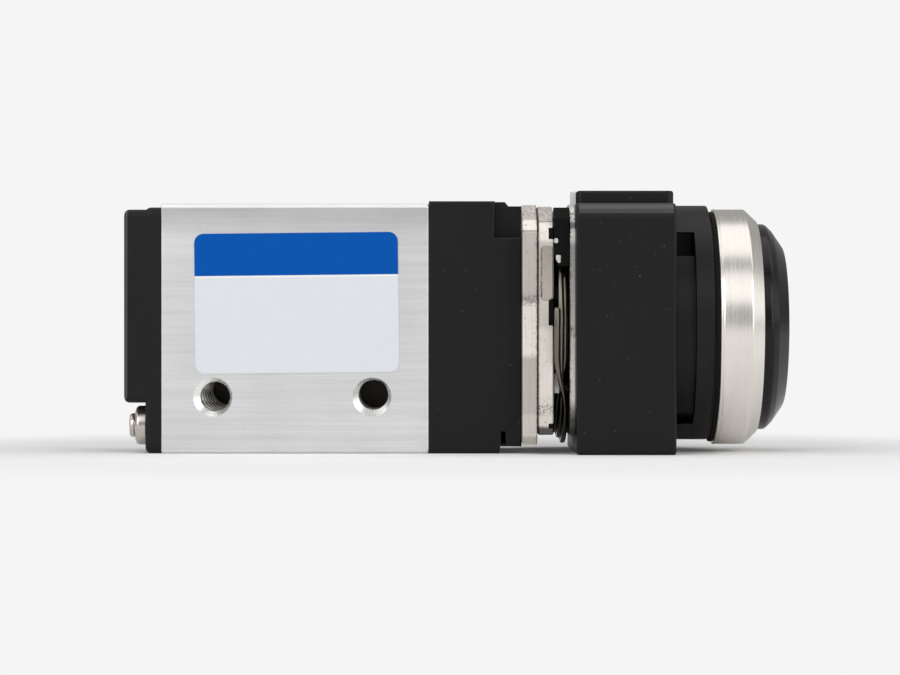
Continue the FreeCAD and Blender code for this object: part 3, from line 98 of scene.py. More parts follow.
def round_corners(corners: Sequence, radii: Any, steps: int = 5) -> np.ndarray:
    """Round the corners of a closed outline.

    Corner C with tangent points A and B becomes the arc (a A + b C + c B) / (a + b + c),
    where a = (1 - t)^2, b = 2 t (1 - t) w, c = t^2 and w is the cosine of half the turn.

    Args:
        corners: the outline's corners in order.
        radii: one radius, or one for each corner.
        steps: straight steps in an arc.

    Returns:
        The rounded outline, without repeated points.
    """
    spots = np.asarray(corners, float)
    back = np.roll(spots, 1, axis=0) - spots
    ahead = np.roll(spots, -1, axis=0) - spots
    back_length = np.linalg.norm(back, axis=1)
    ahead_length = np.linalg.norm(ahead, axis=1)
    back /= back_length[:, None]
    ahead /= ahead_length[:, None]
    half = np.arccos(np.clip((back * ahead).sum(axis=1), -1, 1)) / 2
    reach = np.broadcast_to(np.asarray(radii, float), half.shape) / np.tan(half)
    reach = np.minimum(reach, 0.49 * np.minimum(back_length, ahead_length))
    start = (spots + back * reach[:, None])[:, None, :]
    end = (spots + ahead * reach[:, None])[:, None, :]
    t = np.linspace(0, 1, steps + 1)[None, :, None]
    weight = np.sin(half)[:, None, None]
    first = (1 - t) ** 2
    middle = 2 * t * (1 - t) * weight
    last = t**2
    arcs = (first * start + middle * spots[:, None, :] + last * end) / (first + middle + last)
    outline = arcs.reshape(-1, 2)
    gaps = np.linalg.norm(outline - np.roll(outline, 1, axis=0), axis=1)
    return outline[gaps > 1e-5]


def box_outline(left: float, right: float, low: float, high: float) -> list:
    """Corners of a rectangle, anticlockwise."""
    return [(left, low), (right, low), (right, high), (left, high)]


def circle(centre: tuple, radius: float, count: int = ROUND) -> np.ndarray:
    """Points (c + r cos a, d + r sin a) of a circle.

    Args:
        centre: the circle's middle.
        radius: its radius.
        count: points round it.

    Returns:
        Anticlockwise points shaped (count, 2).
    """
    angle = np.linspace(0, 2 * math.pi, count, endpoint=False)
    ring = np.stack((np.cos(angle), np.sin(angle)), axis=-1)
    return np.asarray(centre, float) + radius * ring


def inset(outline: np.ndarray, distance: Any) -> np.ndarray:
    """Move every point of an anticlockwise outline inwards by a distance.

    The point moves against m = (n1 + n2) / (1 + n1 . n2), n1 and n2 being the outward
    normals of its two edges, so both edges move by the same distance.

    Args:
        outline: points shaped (count, 2).
        distance: one distance, or an array of them, which gives one outline each.

    Returns:
        Points shaped (count, 2), or (distances, count, 2).
    """
    edge = np.roll(outline, -1, axis=0) - outline
    edge /= np.linalg.norm(edge, axis=1)[:, None]
    after = np.stack((edge[:, 1], -edge[:, 0]), axis=-1)
    before = np.roll(after, 1, axis=0)
    meet = 1 + (after * before).sum(axis=1)
    mitre = (after + before) / np.maximum(meet, 0.3)[:, None]
    return outline - mitre * np.asarray(distance, float)[..., None, None]


class Shell:
    """Points and faces of one piece, gathered patch by patch, in millimetres."""

    def __init__(self) -> None:
        """Start empty."""
        self.points: list[np.ndarray] = []
        self.faces: list[tuple[int, ...]] = []
        self.kinds: list[int] = []
        self.kind = 0
        self.count = 0

    def _keep(self, points: np.ndarray) -> int:
        """Store points.

        Args:
            points: shaped (..., 3).

        Returns:
            The number of the first one.
        """
        first = self.count
        self.points.append(points.reshape(-1, 3))
        self.count += self.points[-1].shape[0]
        return first

    def _add(self, faces: list) -> None:
        """Store faces with the present kind, which chooses one of the piece's finishes."""
        self.faces += faces
        self.kinds += [self.kind] * len(faces)

    def grid(
        self, points: np.ndarray, wrap: bool = True, skip: Iterable = (), row: int = 0
    ) -> list[np.ndarray]:
        """Add quads over a grid of points.

        Args:
            points: shaped (rows, columns, 3).
            wrap: whether the last column joins the first.
            skip: columns that are left open between one row and the next.
            row: the row at which they are left open.

        Returns:
            The corners of each quad that was left open.
        """
        rows, columns = points.shape[:2]
        index = np.arange(rows * columns).reshape(rows, columns) + self._keep(points)
        right = np.roll(index, -1, axis=1)
        quads = np.stack((index[:-1], right[:-1], right[1:], index[1:]), axis=-1)
        if not wrap:
            quads = quads[:, :-1]
        wanted = np.ones(quads.shape[:2], bool)
        wanted[row, list(skip)] = False
        self._add(list(map(tuple, quads[wanted].tolist())))
        flat = points.reshape(-1, 3)
        return [flat[quads[row, column] - index[0, 0]] for column in skip]

    def cap(self, outer: np.ndarray, holes: Sequence[np.ndarray] = ()) -> None:
        """Fill a flat outline.

        Args:
            outer: the outline's points.
            holes: loops that stay open.
        """
        loops = [outer, *holes]
        first = self._keep(np.concatenate(loops))
        if not holes:
            self._add([tuple(range(first, first + len(outer)))])
            return
        triangles = tessellate_polygon([[Vector(point) for point in loop] for loop in loops])
        self._add([tuple(first + index for index in triangle) for triangle in triangles])

    def well(self, axis: Axis, centre: tuple, profile: Sequence, count: int = ROUND) -> None:
        """Add a round surface about an axis.

        Point (i, a) is c + r_i (cos a, sin a) at depth d_i; a radius of 0 closes it.

        Args:
            axis: direction of the surface's own axis.
            centre: the axis in the plane.
            profile: (depth, radius) pairs.
            count: points round the axis.
        """
        profile = np.asarray(profile, float)
        angle = np.linspace(0, 2 * math.pi, count, endpoint=False)
        across = centre[0] + profile[:, 1:] * np.cos(angle)
        along = centre[1] + profile[:, 1:] * np.sin(angle)
        self.grid(axis.place(across, along, profile[:, :1]))

    def thread(
        self, axis: Axis, centre: tuple, start: float, end: float, core: float,
        crest: float, pitch: float, lean: tuple = (0.0, 0.0), kinds: tuple = (0, 0),
        count: int = ROUND
    ) -> None:
        """Add a female thread.

        Its radius is core + (crest - core) f w, where w is the distance of
        depth / pitch - angle / 2 pi from the nearest whole number, doubled, and f fades
        to 0 over half a pitch at both ends.  Its centre drifts evenly by the lean.

        Args:
            axis: direction of the hole.
            centre: the hole's axis in the plane.
            start: depth at which the thread starts.
            end: depth at which it ends.
            core: radius between the grooves.
            crest: radius at the bottom of the grooves.
            pitch: distance from groove to groove.
            lean: how far the centre drifts from the start to the end.
            kinds: kinds of the faces on the crests and in the grooves.
            count: points round the axis.
        """
        rows = int(abs(end - start) / pitch * 8) + 1
        depth = np.linspace(start, end, rows)[:, None]
        angle = np.linspace(0, 2 * math.pi, count, endpoint=False)[None, :]
        turn = (depth - start) / pitch - angle / (2 * math.pi)
        wave = 2 * np.abs(turn - np.round(turn))
        reach = np.minimum(np.abs(depth - start), np.abs(end - depth))
        fade = np.clip(reach / (0.5 * pitch), 0, 1)
        radius = core + (crest - core) * wave * fade
        share = (depth - start) / (end - start)
        across = centre[0] + lean[0] * share + radius * np.cos(angle)
        along = centre[1] + lean[1] * share + radius * np.sin(angle)
        self.grid(axis.place(across, along, depth + 0 * angle))
        level = (wave * fade)[:-1]
        chosen = np.where(level > 0.55, kinds[1], kinds[0]).ravel().tolist()
        self.kinds[-len(chosen):] = chosen

    def prism(
        self, axis: Axis, outline: np.ndarray, start: float, end: float,
        rims: tuple = (0.0, 0.0), holes: tuple = ((), ()), open_sides: Iterable = (),
        capped: tuple = (True, True), steps: int = 4
    ) -> list[np.ndarray]:
        """Carry an outline along an axis, with a rounded rim at each end.

        On a rim of radius r the outline is inset by r - r sin a and stands r - r cos a
        from the end, a running over a right angle.

        Args:
            axis: direction in which the outline is carried.
            outline: anticlockwise points shaped (count, 2).
            start: depth of the first end.
            end: depth of the second end.
            rims: radius of each rim.
            holes: for each end, loops of points that are left open in its cap.
            open_sides: columns of the outline whose flat side is left open.
            capped: whether each end is closed.
            steps: steps in a rim.

        Returns:
            The corners of each side that was left open.
        """
        angle = np.linspace(0, math.pi / 2, steps + 1)
        way = math.copysign(1, end - start)
        first = start + way * rims[0] * (1 - np.cos(angle))
        last = end - way * rims[1] * (1 - np.cos(angle[::-1]))
        shrink = 1 - np.sin(angle)
        insets = np.concatenate((rims[0] * shrink, rims[1] * shrink[::-1]))
        depth = np.concatenate((first, last))
        loops = inset(outline, insets)
        points = axis.lay(loops, depth[:, None])
        opened = self.grid(points, skip=open_sides, row=steps)
        for place, row in ((0, 0), (1, -1)):
            if capped[place]:
                self.cap(points[row], holes[place])
        return opened

    def revolve(
        self, centre: tuple, profile: np.ndarray, count: int = 144, closed: bool = True
    ) -> None:
        """Turn a profile of (x, radius) pairs about a line along X.

        Args:
            centre: y and z of the line.
            profile: pairs; a closed profile returns to its first pair.
            count: points round the line.
            closed: whether the last pair joins the first.
        """
        if closed:
            profile = np.concatenate((profile, profile[:1]))
        self.well(Axis.X, centre, profile, count)

    def wire(self, path: np.ndarray, radius: float, sides: int = 14) -> None:
        """Carry a round section along a path.

        The section's points are p + r (u cos a + v sin a); v is the part of X that is
        square to the path's direction d, and u = d x v.  Both ends close in half balls.

        Args:
            path: points shaped (count, 3).
            radius: section radius.
            sides: points round the section.
        """
        direction = np.gradient(path, axis=0)
        direction /= np.linalg.norm(direction, axis=1)[:, None]
        bend = np.linspace(0, math.pi / 2, 5)[1:]
        head = path[0] - direction[0] * (radius * np.sin(bend[::-1, None]))
        tail = path[-1] + direction[-1] * (radius * np.sin(bend[:, None]))
        size = np.concatenate((np.cos(bend[::-1]), np.ones(len(path)), np.cos(bend))) * radius
        spine = np.concatenate((head, path, tail))
        course = np.concatenate(
            (np.repeat(direction[:1], 4, 0), direction, np.repeat(direction[-1:], 4, 0))
        )
        side = np.array((1.0, 0.0, 0.0)) - course * course[:, :1]
        side /= np.linalg.norm(side, axis=1)[:, None]
        other = np.cross(course, side)
        angle = np.linspace(0, 2 * math.pi, sides, endpoint=False)
        ring = (
            other[:, None, :] * np.cos(angle)[None, :, None]
            + side[:, None, :] * np.sin(angle)[None, :, None]
        )
        self.grid(spine[:, None, :] + ring * size[:, None, None])

    def mark(self, kind: int, low: tuple, high: tuple) -> None:
        """Give a kind to the faces whose middle lies in a box.

        Args:
            kind: the kind.
            low: the box's lowest corner.
            high: its highest corner.
        """
        points = np.concatenate(self.points)
        middles = np.array([points[list(face)].mean(axis=0) for face in self.faces])
        inside = ((middles > low) & (middles < high)).all(axis=1)
        self.kinds = np.where(inside, kind, self.kinds).tolist()

    def build(self, name: str, *materials: bpy.types.Material) -> bpy.types.Object:
        """Write the piece's mesh in metres, close its seams and turn its faces outwards.

        Args:
            name: the piece's name.
            materials: one finish for each kind of face.

        Returns:
            The piece's object, at the origin.
        """
        mesh = bpy.data.meshes.new(name)
        mesh.from_pydata((np.concatenate(self.points) * MM).tolist(), [], self.faces)
        for material in materials:
            mesh.materials.append(material)
        mesh.polygons.foreach_set("material_index", self.kinds)
        work = bmesh.new()
        work.from_mesh(mesh)
        bmesh.ops.remove_doubles(work, verts=work.verts, dist=2e-7)
        bmesh.ops.dissolve_degenerate(work, edges=work.edges, dist=1e-8)
        bmesh.ops.recalc_face_normals(work, faces=work.faces)
        work.to_mesh(mesh)
        work.free()
        mesh.polygons.foreach_set("use_smooth", np.ones(len(mesh.polygons), bool))
        mesh.set_sharp_from_angle(angle=SMOOTH_BELOW)
        piece = bpy.data.objects.new(name, mesh)
        bpy.context.scene.collection.objects.link(piece)
        weighted = piece.modifiers.new("even_shading", "WEIGHTED_NORMAL")
        weighted.keep_sharp = True
        return piece


class Body(Enum):
    """The bodies on which pieces ride."""

    VALVE = "valve"
    BUTTON = "button"
    SPOOL = "spool"


class Signal:
    """A number that varies over a surface; Python's operators add its Math nodes."""

    def __init__(self, graph: "Graph", socket: bpy.types.NodeSocket) -> None:
        """Wrap an output socket."""
        self.graph = graph
        self.socket = socket

    def _join(self, operation: str, first: Any, second: Any) -> "Signal":
        """Add a Math node for two values."""
        return self.graph.number("ShaderNodeMath", {"operation": operation}, {0: first, 1: second})

    def __add__(self, other: Any) -> "Signal":
        """Sum."""
        return self._join("ADD", self, other)

    def __sub__(self, other: Any) -> "Signal":
        """Difference."""
        return self._join("SUBTRACT", self, other)

    def __rsub__(self, other: Any) -> "Signal":
        """Difference from a number."""
        return self._join("SUBTRACT", other, self)

    def __mul__(self, other: Any) -> "Signal":
        """Product."""
        return self._join("MULTIPLY", self, other)

    def __pow__(self, other: Any) -> "Signal":
        """Power."""
        return self._join("POWER", self, other)

    __radd__ = __add__
    __rmul__ = __mul__

    def size(self) -> "Signal":
        """Absolute value."""
        return self._join("ABSOLUTE", self, 0)

    def between(self, low: float, high: float) -> "Signal":
        """Smooth rise from 0 at low to 1 at high."""
        settings = {"interpolation_type": "SMOOTHSTEP"}
        return self.graph.number("ShaderNodeMapRange", settings, {0: self, 1: low, 2: high})


class Graph:
    """Node tree of one material."""

    def __init__(self, name: str) -> None:
        """Make an empty material with an output.

        Args:
            name: the material's name.
        """
        self.material = bpy.data.materials.new(name)
        self.material.use_nodes = True
        self.tree = self.material.node_tree
        self.tree.nodes.clear()
        self.output = self.tree.nodes.new("ShaderNodeOutputMaterial")

    def node(
        self, kind: str, settings: dict | None = None, inputs: dict | None = None
    ) -> bpy.types.Node:
        """Add any node.

        Args:
            kind: the node's type.
            settings: its properties, or a ramp's stops under "stops".
            inputs: values or links of its sockets, by name or number.

        Returns:
            The node.
        """
        made = self.tree.nodes.new(kind)
        for key, setting in (settings or {}).items():
            if key == "stops":
                self._set_stops(made.color_ramp, setting)
            else:
                setattr(made, key, setting)
        for key, given in (inputs or {}).items():
            given = getattr(given, "socket", given)
            if isinstance(given, bpy.types.NodeSocket):
                self.tree.links.new(given, made.inputs[key])
            else:
                made.inputs[key].default_value = given
        return made

    @staticmethod
    def _set_stops(ramp: bpy.types.ColorRamp, stops: Sequence) -> None:
        """Give a colour ramp its stops.

        Args:
            ramp: the ramp.
            stops: (position, grey level) or (position, colour) pairs.
        """
        while len(ramp.elements) < len(stops):
            ramp.elements.new(1.0)
        for element, (position, level) in zip(ramp.elements, stops):
            element.position = position
            element.color = (level, level, level, 1) if isinstance(level, float) else (*level, 1)

    def number(
        self, kind: str, settings: dict | None = None, inputs: dict | None = None
    ) -> Signal:
        """Add a node and wrap its first output."""
        return Signal(self, self.node(kind, settings, inputs).outputs[0])

    def spot(
        self, scale: tuple = (1, 1, 1), centre: tuple = (0, 0, 0), turn: tuple = (0, 0, 0)
    ) -> Signal:
        """Object coordinates in millimetres, centred, turned and stretched.

        Args:
            scale: stretch along each axis.
            centre: point in millimetres that becomes the origin.
            turn: turns in radians about each axis.

        Returns:
            The coordinates.
        """
        place = self.node("ShaderNodeTexCoord").outputs["Object"]
        inputs = {"Vector": place, "Location": tuple(c * MM for c in centre), "Rotation": turn}
        centred = self.node("ShaderNodeMapping", {"vector_type": "TEXTURE"}, inputs).outputs[0]
        stretch = tuple(factor / MM for factor in scale)
        return self.number("ShaderNodeMapping", {}, {"Vector": centred, "Scale": stretch})

    def part(self, vector: Signal, index: int) -> Signal:
        """One coordinate of a vector."""
        return Signal(self, self.node("ShaderNodeSeparateXYZ", {}, {0: vector}).outputs[index])

    def noise(
        self, vector: Signal, scale: float = 1.0, detail: float = 3.0, rough: float = 0.5
    ) -> Signal:
        """Noise between 0 and 1.

        Args:
            vector: coordinates.
            scale: cells in a millimetre.
            detail: finer layers.
            rough: strength of the finer layers.

        Returns:
            The noise.
        """
        inputs = {"Vector": vector, "Scale": scale, "Detail": detail, "Roughness": rough}
        return self.number("ShaderNodeTexNoise", {"normalize": True}, inputs)

    def blend(self, factor: Any, first: Any, second: Any, way: str = "MIX") -> Signal:
        """Mix two colours.

        Args:
            factor: share of the second.
            first: the first colour.
            second: the second colour.
            way: the Mix node's blend type.

        Returns:
            The mixed colour.
        """
        settings = {"data_type": "RGBA", "blend_type": way, "clamp_factor": True}
        mix = self.node("ShaderNodeMix", settings, {0: factor, 6: first, 7: second})
        return Signal(self, mix.outputs[2])

    def bump(self, height: Signal, depth: float, normal: Signal | None = None) -> Signal:
        """Surface relief from a height between 0 and 1.

        Args:
            height: the height.
            depth: millimetres that a height of 1 stands for.
            normal: relief to add to.

        Returns:
            The normal.
        """
        inputs: dict = {"Height": height, "Distance": depth * MM, "Strength": 1.0}
        if normal is not None:
            inputs["Normal"] = normal
        return self.number("ShaderNodeBump", {}, inputs)

    def shine(self, **inputs: Any) -> bpy.types.Material:
        """Finish with a Principled surface.

        Args:
            inputs: values or links of its sockets; spaces in their names are written _.

        Returns:
            The material.
        """
        named = {key.replace("_", " "): given for key, given in inputs.items()}
        shader = self.node("ShaderNodeBsdfPrincipled", {}, named)
        self.tree.links.new(shader.outputs[0], self.output.inputs[0])
        return self.material


def colour(red: float, green: float, blue: float) -> tuple:
    """Linear colour from display values.

    Args:
        red: red, from 0 to 255.
        green: green.
        blue: blue.

    Returns:
        Red, green, blue and an alpha of 1.
    """
    shown = np.array((red, green, blue)) / 255
    line = np.where(shown <= 0.04045, shown / 12.92, ((shown + 0.055) / 1.055) ** 2.4)
    return (*map(float, line), 1.0)


@dataclass(frozen=True)
class BrushedAluminium:
    """Extruded and brushed aluminium, grain along X."""

    base: tuple = colour(223, 223, 224)
    rough: float = 0.36
    # Heights of the band of painted shade and of the painted highlight on the rounded upper edge.
    shade_from: float = 29.5
    shade_to: float = 34.2
    highlight_from: float = 34.3
    highlight_to: float = 34.6

    def material(self) -> bpy.types.Material:
        """Long streaks, short scratches, dust, painted shade below the upper edge and a painted
        highlight on it.

        Returns:
            The material.
        """
        graph = Graph("brushed_aluminium")
        fine = graph.noise(graph.spot((0.035, 5.0, 5.0)), 1.6, 4.0, 0.65)
        wide = graph.noise(graph.spot((0.02, 1.1, 1.1)), 1.0, 3.0, 0.6)
        drift = graph.noise(graph.spot(), 0.09, 2.0)
        specks = graph.noise(graph.spot(), 2.6, 1.0).between(0.76, 0.79)
        height = graph.part(graph.spot(), 2)
        # crest is a painted highlight on the rounded upper edge; upper is painted shade below it.
        crest = height.between(self.highlight_from, self.highlight_to)
        upper = height.between(self.shade_from, self.shade_to) * (1.0 - crest)
        scratches = graph.noise(graph.spot((0.16, 6.0, 6.0)), 1.0, 2.0, 0.6).between(0.64, 0.74)
        tone = fine * 0.36 + wide * 0.28 + drift * 0.12 + 0.645
        tone = tone + crest * 0.16 - upper * 0.25 - scratches * 0.12
        shade = graph.blend(1.0, self.base, grey(graph, tone), "MULTIPLY")
        shade = graph.blend(specks * 0.25, shade, colour(150, 150, 150))
        rough = fine * 0.16 + drift * 0.08 + (self.rough - 0.08)
        relief = graph.bump(fine * 0.7 + wide * 0.3 - scratches * 0.3, 0.012)
        return graph.shine(Base_Color=shade, Metallic=0.85, Roughness=rough, Normal=relief)


def grey(graph: Graph, level: Signal) -> Signal:
    """A grey colour of a level."""
    return graph.number("ShaderNodeCombineColor", {}, {0: level, 1: level, 2: level})


@dataclass(frozen=True)
class MouldedBlack:
    """Black moulded plastic with a fine eroded texture."""

    name: str = "moulded_black"
    base: tuple = colour(7, 7, 7)
    rough: float = 0.42
    relief: float = 0.006
    gloss: float = 0.28

    def material(self) -> bpy.types.Material:
        """Fine grain, soft flow marks and a little dust.

        Returns:
            The material.
        """
        graph = Graph(self.name)
        grain = graph.noise(graph.spot(), 7.0, 3.0, 0.6)
        flow = graph.noise(graph.spot((0.5, 1.0, 0.25)), 0.16, 2.0)
        dust = graph.noise(graph.spot(), 3.1, 1.0).between(0.775, 0.80)
        tone = grey(graph, flow * 0.5 + grain * 0.2 + 0.65)
        shade = graph.blend(1.0, self.base, tone, "MULTIPLY")
        shade = graph.blend(dust * 0.35, shade, colour(150, 150, 150))
        rough = grain * 0.10 + flow * 0.10 + (self.rough - 0.10)
        relief = graph.bump(grain, self.relief)
        return graph.shine(
            Base_Color=shade, Roughness=rough, Normal=relief, Specular_IOR_Level=self.gloss
        )


@dataclass(frozen=True)
class CastPlate:
    """Die-cast zinc with a dull plating, grainy and a little warm.

    The seam is the height of a crumbly joint, the edge the station of a dark rim of painted
    shade where the plate meets its neighbour, the fold the height of a fine dark line, and
    the bands are (height, tone) pairs: tones by height, among them painted shadow along the
    lock plate's lower edge and painted shade on the backing plate's upper facet.
    """

    name: str = "cast_plate"
    base: tuple = colour(242, 234, 225)
    rough: float = 0.44
    seam: float = 21.4
    edge: float = 33.9
    fold: float = 31.02
    bands: tuple = (
        (2.4, 0.75), (5.4, 0.73), (5.8, 0.61), (13.2, 0.59), (14.0, 1.0), (20.8, 0.9),
        (21.5, 0.57), (30.8, 0.61), (31.4, 1.0),
    )

    def material(self) -> bpy.types.Material:
        """Cast grain, drag lines, stains, pits, tones by height with painted shadow and shade, a
        seam, a rim of painted shade and a speckled crown darkened as painted shade.

        Returns:
            The material.
        """
        graph = Graph(self.name)
        grain = graph.noise(graph.spot(), 3.4, 5.0, 0.75)
        lines = graph.noise(graph.spot((4.0, 4.0, 0.10)), 1.0, 3.0, 0.6)
        stains = graph.noise(graph.spot((1.0, 1.0, 0.35)), 0.32, 3.0, 0.6)
        pits = graph.noise(graph.spot(), 1.5, 4.0, 0.75).between(0.60, 0.68)
        height = graph.part(graph.spot(), 2)
        near = 1.0 - (height - self.seam).size().between(0.3, 1.1)
        crumbs = graph.noise(graph.spot(), 4.5, 3.0, 0.7).between(0.44, 0.56)
        # Tones by height; some of the bands are painted shadow and painted shade.
        stops = [(level / 36, part) for level, part in self.bands]
        ragged = height * (1 / 36) + stains * 0.012 - 0.006
        layer = graph.number("ShaderNodeValToRGB", {"stops": stops}, {0: ragged})
        # A dark rim where the plate meets its neighbour: painted shade of the gap.
        rim = 1.0 - (graph.part(graph.spot(), 0) - self.edge).size().between(0.08, 0.34)
        tone = grey(graph, (grain * 0.26 + lines * 0.34 + stains * 0.30 + 0.55) * layer)
        shade = graph.blend(1.0, self.base, tone, "MULTIPLY")
        # The crown above the upper facets is speckled and darkened: speckle and painted shade.
        speckled = graph.noise(graph.spot(), 2.4, 4.0, 0.75).between(0.50, 0.60)
        crown_shade = height.between(32.4, 32.7)
        shade = graph.blend(crown_shade * speckled * 0.62, shade, colour(108, 109, 110))
        fold = 1.0 - (height - self.fold).size().between(0.04, 0.16)
        # Pits and the crumbly seam are dirt, the rim is painted shade and the fold is a fine dark
        # line.
        dirt_and_shade = pits * 0.5 + near * crumbs * 0.65 + rim * (crumbs * 0.7 + 0.25) + fold * 0.5
        shade = graph.blend(dirt_and_shade, shade, colour(84, 78, 72))
        rough = grain * 0.2 + (self.rough - 0.08)
        relief = graph.bump(grain * 0.7 + lines * 0.3 - pits * 0.5 - near * crumbs * 0.4, 0.045)
        return graph.shine(Base_Color=shade, Metallic=0.75, Roughness=rough, Normal=relief)


@dataclass(frozen=True)
class SatinNickel:
    """Satin plating brushed round the button's axis."""

    axis_height: float = 17.8
    base: tuple = colour(239, 234, 227)
    rough: float = 0.22

    def material(self) -> bpy.types.Material:
        """Streaks that run round the ring, from noise over x, angle and distance to the axis.

        Returns:
            The material.
        """
        graph = Graph("satin_nickel")
        spot = graph.spot(centre=(0, 0, self.axis_height))
        along = graph.part(spot, 0)
        across = graph.part(spot, 1)
        upright = graph.part(spot, 2)
        reach = (across * across + upright * upright) ** 0.5
        angle = graph.number("ShaderNodeMath", {"operation": "ARCTAN2"}, {0: across, 1: upright})
        inputs = {0: along * 7.0, 1: angle * 1.2, 2: reach * 7.0}
        course = graph.number("ShaderNodeCombineXYZ", {}, inputs)
        fine = graph.noise(course, 1.0, 4.0, 0.65)
        drift = graph.noise(graph.spot(), 0.12, 2.0)
        tone = grey(graph, fine * 0.22 + drift * 0.10 + 0.80)
        shade = graph.blend(1.0, self.base, tone, "MULTIPLY")
        rough = fine * 0.18 + (self.rough - 0.06)
        relief = graph.bump(fine, 0.010)
        return graph.shine(Base_Color=shade, Metallic=0.95, Roughness=rough, Normal=relief)


@dataclass(frozen=True)
class BareSteel:
    """Turned, drawn or plated steel of the small and hidden pieces."""

    name: str
    base: tuple = colour(190, 188, 184)
    rough: float = 0.28
    metallic: float = 0.95

    def material(self) -> bpy.types.Material:
        """Fine grain with a slow drift of tone.

        Returns:
            The material.
        """
        graph = Graph(self.name)
        grain = graph.noise(graph.spot(), 6.0, 3.0, 0.6)
        drift = graph.noise(graph.spot(), 0.5, 2.0)
        tone = grey(graph, grain * 0.2 + drift * 0.15 + 0.78)
        shade = graph.blend(1.0, self.base, tone, "MULTIPLY")
        rough = grain * 0.18 + (self.rough - 0.05)
        relief = graph.bump(grain, 0.008)
        return graph.shine(
            Base_Color=shade, Metallic=self.metallic, Roughness=rough, Normal=relief
        )


@dataclass(frozen=True)
class LabelPrint:
    """Printed film: a blue band, a white line and a pale field, turned with the label."""

    centre: tuple = (0.25, -11.08, 21.1)
    tilt: float = math.radians(0.6)
    band_bottom: float = 3.87
    line: float = 0.28
    soft: float = 0.03

    def material(self) -> bpy.types.Material:
        """Bands by height over the label's middle, with the film's own faint mottling.

        Returns:
            The material.
        """
        graph = Graph("label_print")
        spot = graph.spot(centre=self.centre, turn=(0, -self.tilt, 0))
        height = graph.part(spot, 2)
        upper = self.band_bottom
        lower = upper - self.line
        band = height.between(upper - self.soft, upper + self.soft)
        line = height.between(lower - self.soft, lower + self.soft)
        mottle = graph.noise(graph.spot(), 0.5, 3.0, 0.6)
        fibre = graph.noise(graph.spot(), 9.0, 2.0)
        field_tone = graph.blend(mottle, colour(232, 235, 241), colour(237, 240, 245))
        blue = graph.blend(mottle, colour(0, 84, 177), colour(0, 91, 184))
        shade = graph.blend(line, field_tone, colour(252, 253, 254))
        shade = graph.blend(band, shade, blue)
        rough = fibre * 0.12 + 0.36
        relief = graph.bump(fibre * 0.4 + mottle * 0.6, 0.006)
        return graph.shine(
            Base_Color=shade, Roughness=rough, Normal=relief, Specular_IOR_Level=0.1
        )


@dataclass(frozen=True)
class Rubber:
    """Dull seal rubber."""

    base: tuple = colour(14, 10, 8)

    def material(self) -> bpy.types.Material:
        """Soft grain.

        Returns:
            The material.
        """
        graph = Graph("seal_rubber")
        grain = graph.noise(graph.spot(), 5.0, 3.0)
        shade = graph.blend(grain, self.base, colour(26, 19, 15))
        relief = graph.bump(grain, 0.01)
        return graph.shine(
            Base_Color=shade, Roughness=grain * 0.2 + 0.6, Normal=relief, Specular_IOR_Level=0.15
        )


def made(finish: Any) -> Any:
    """Dataclass field that holds the material of a finish."""
    return field(default_factory=finish.material)


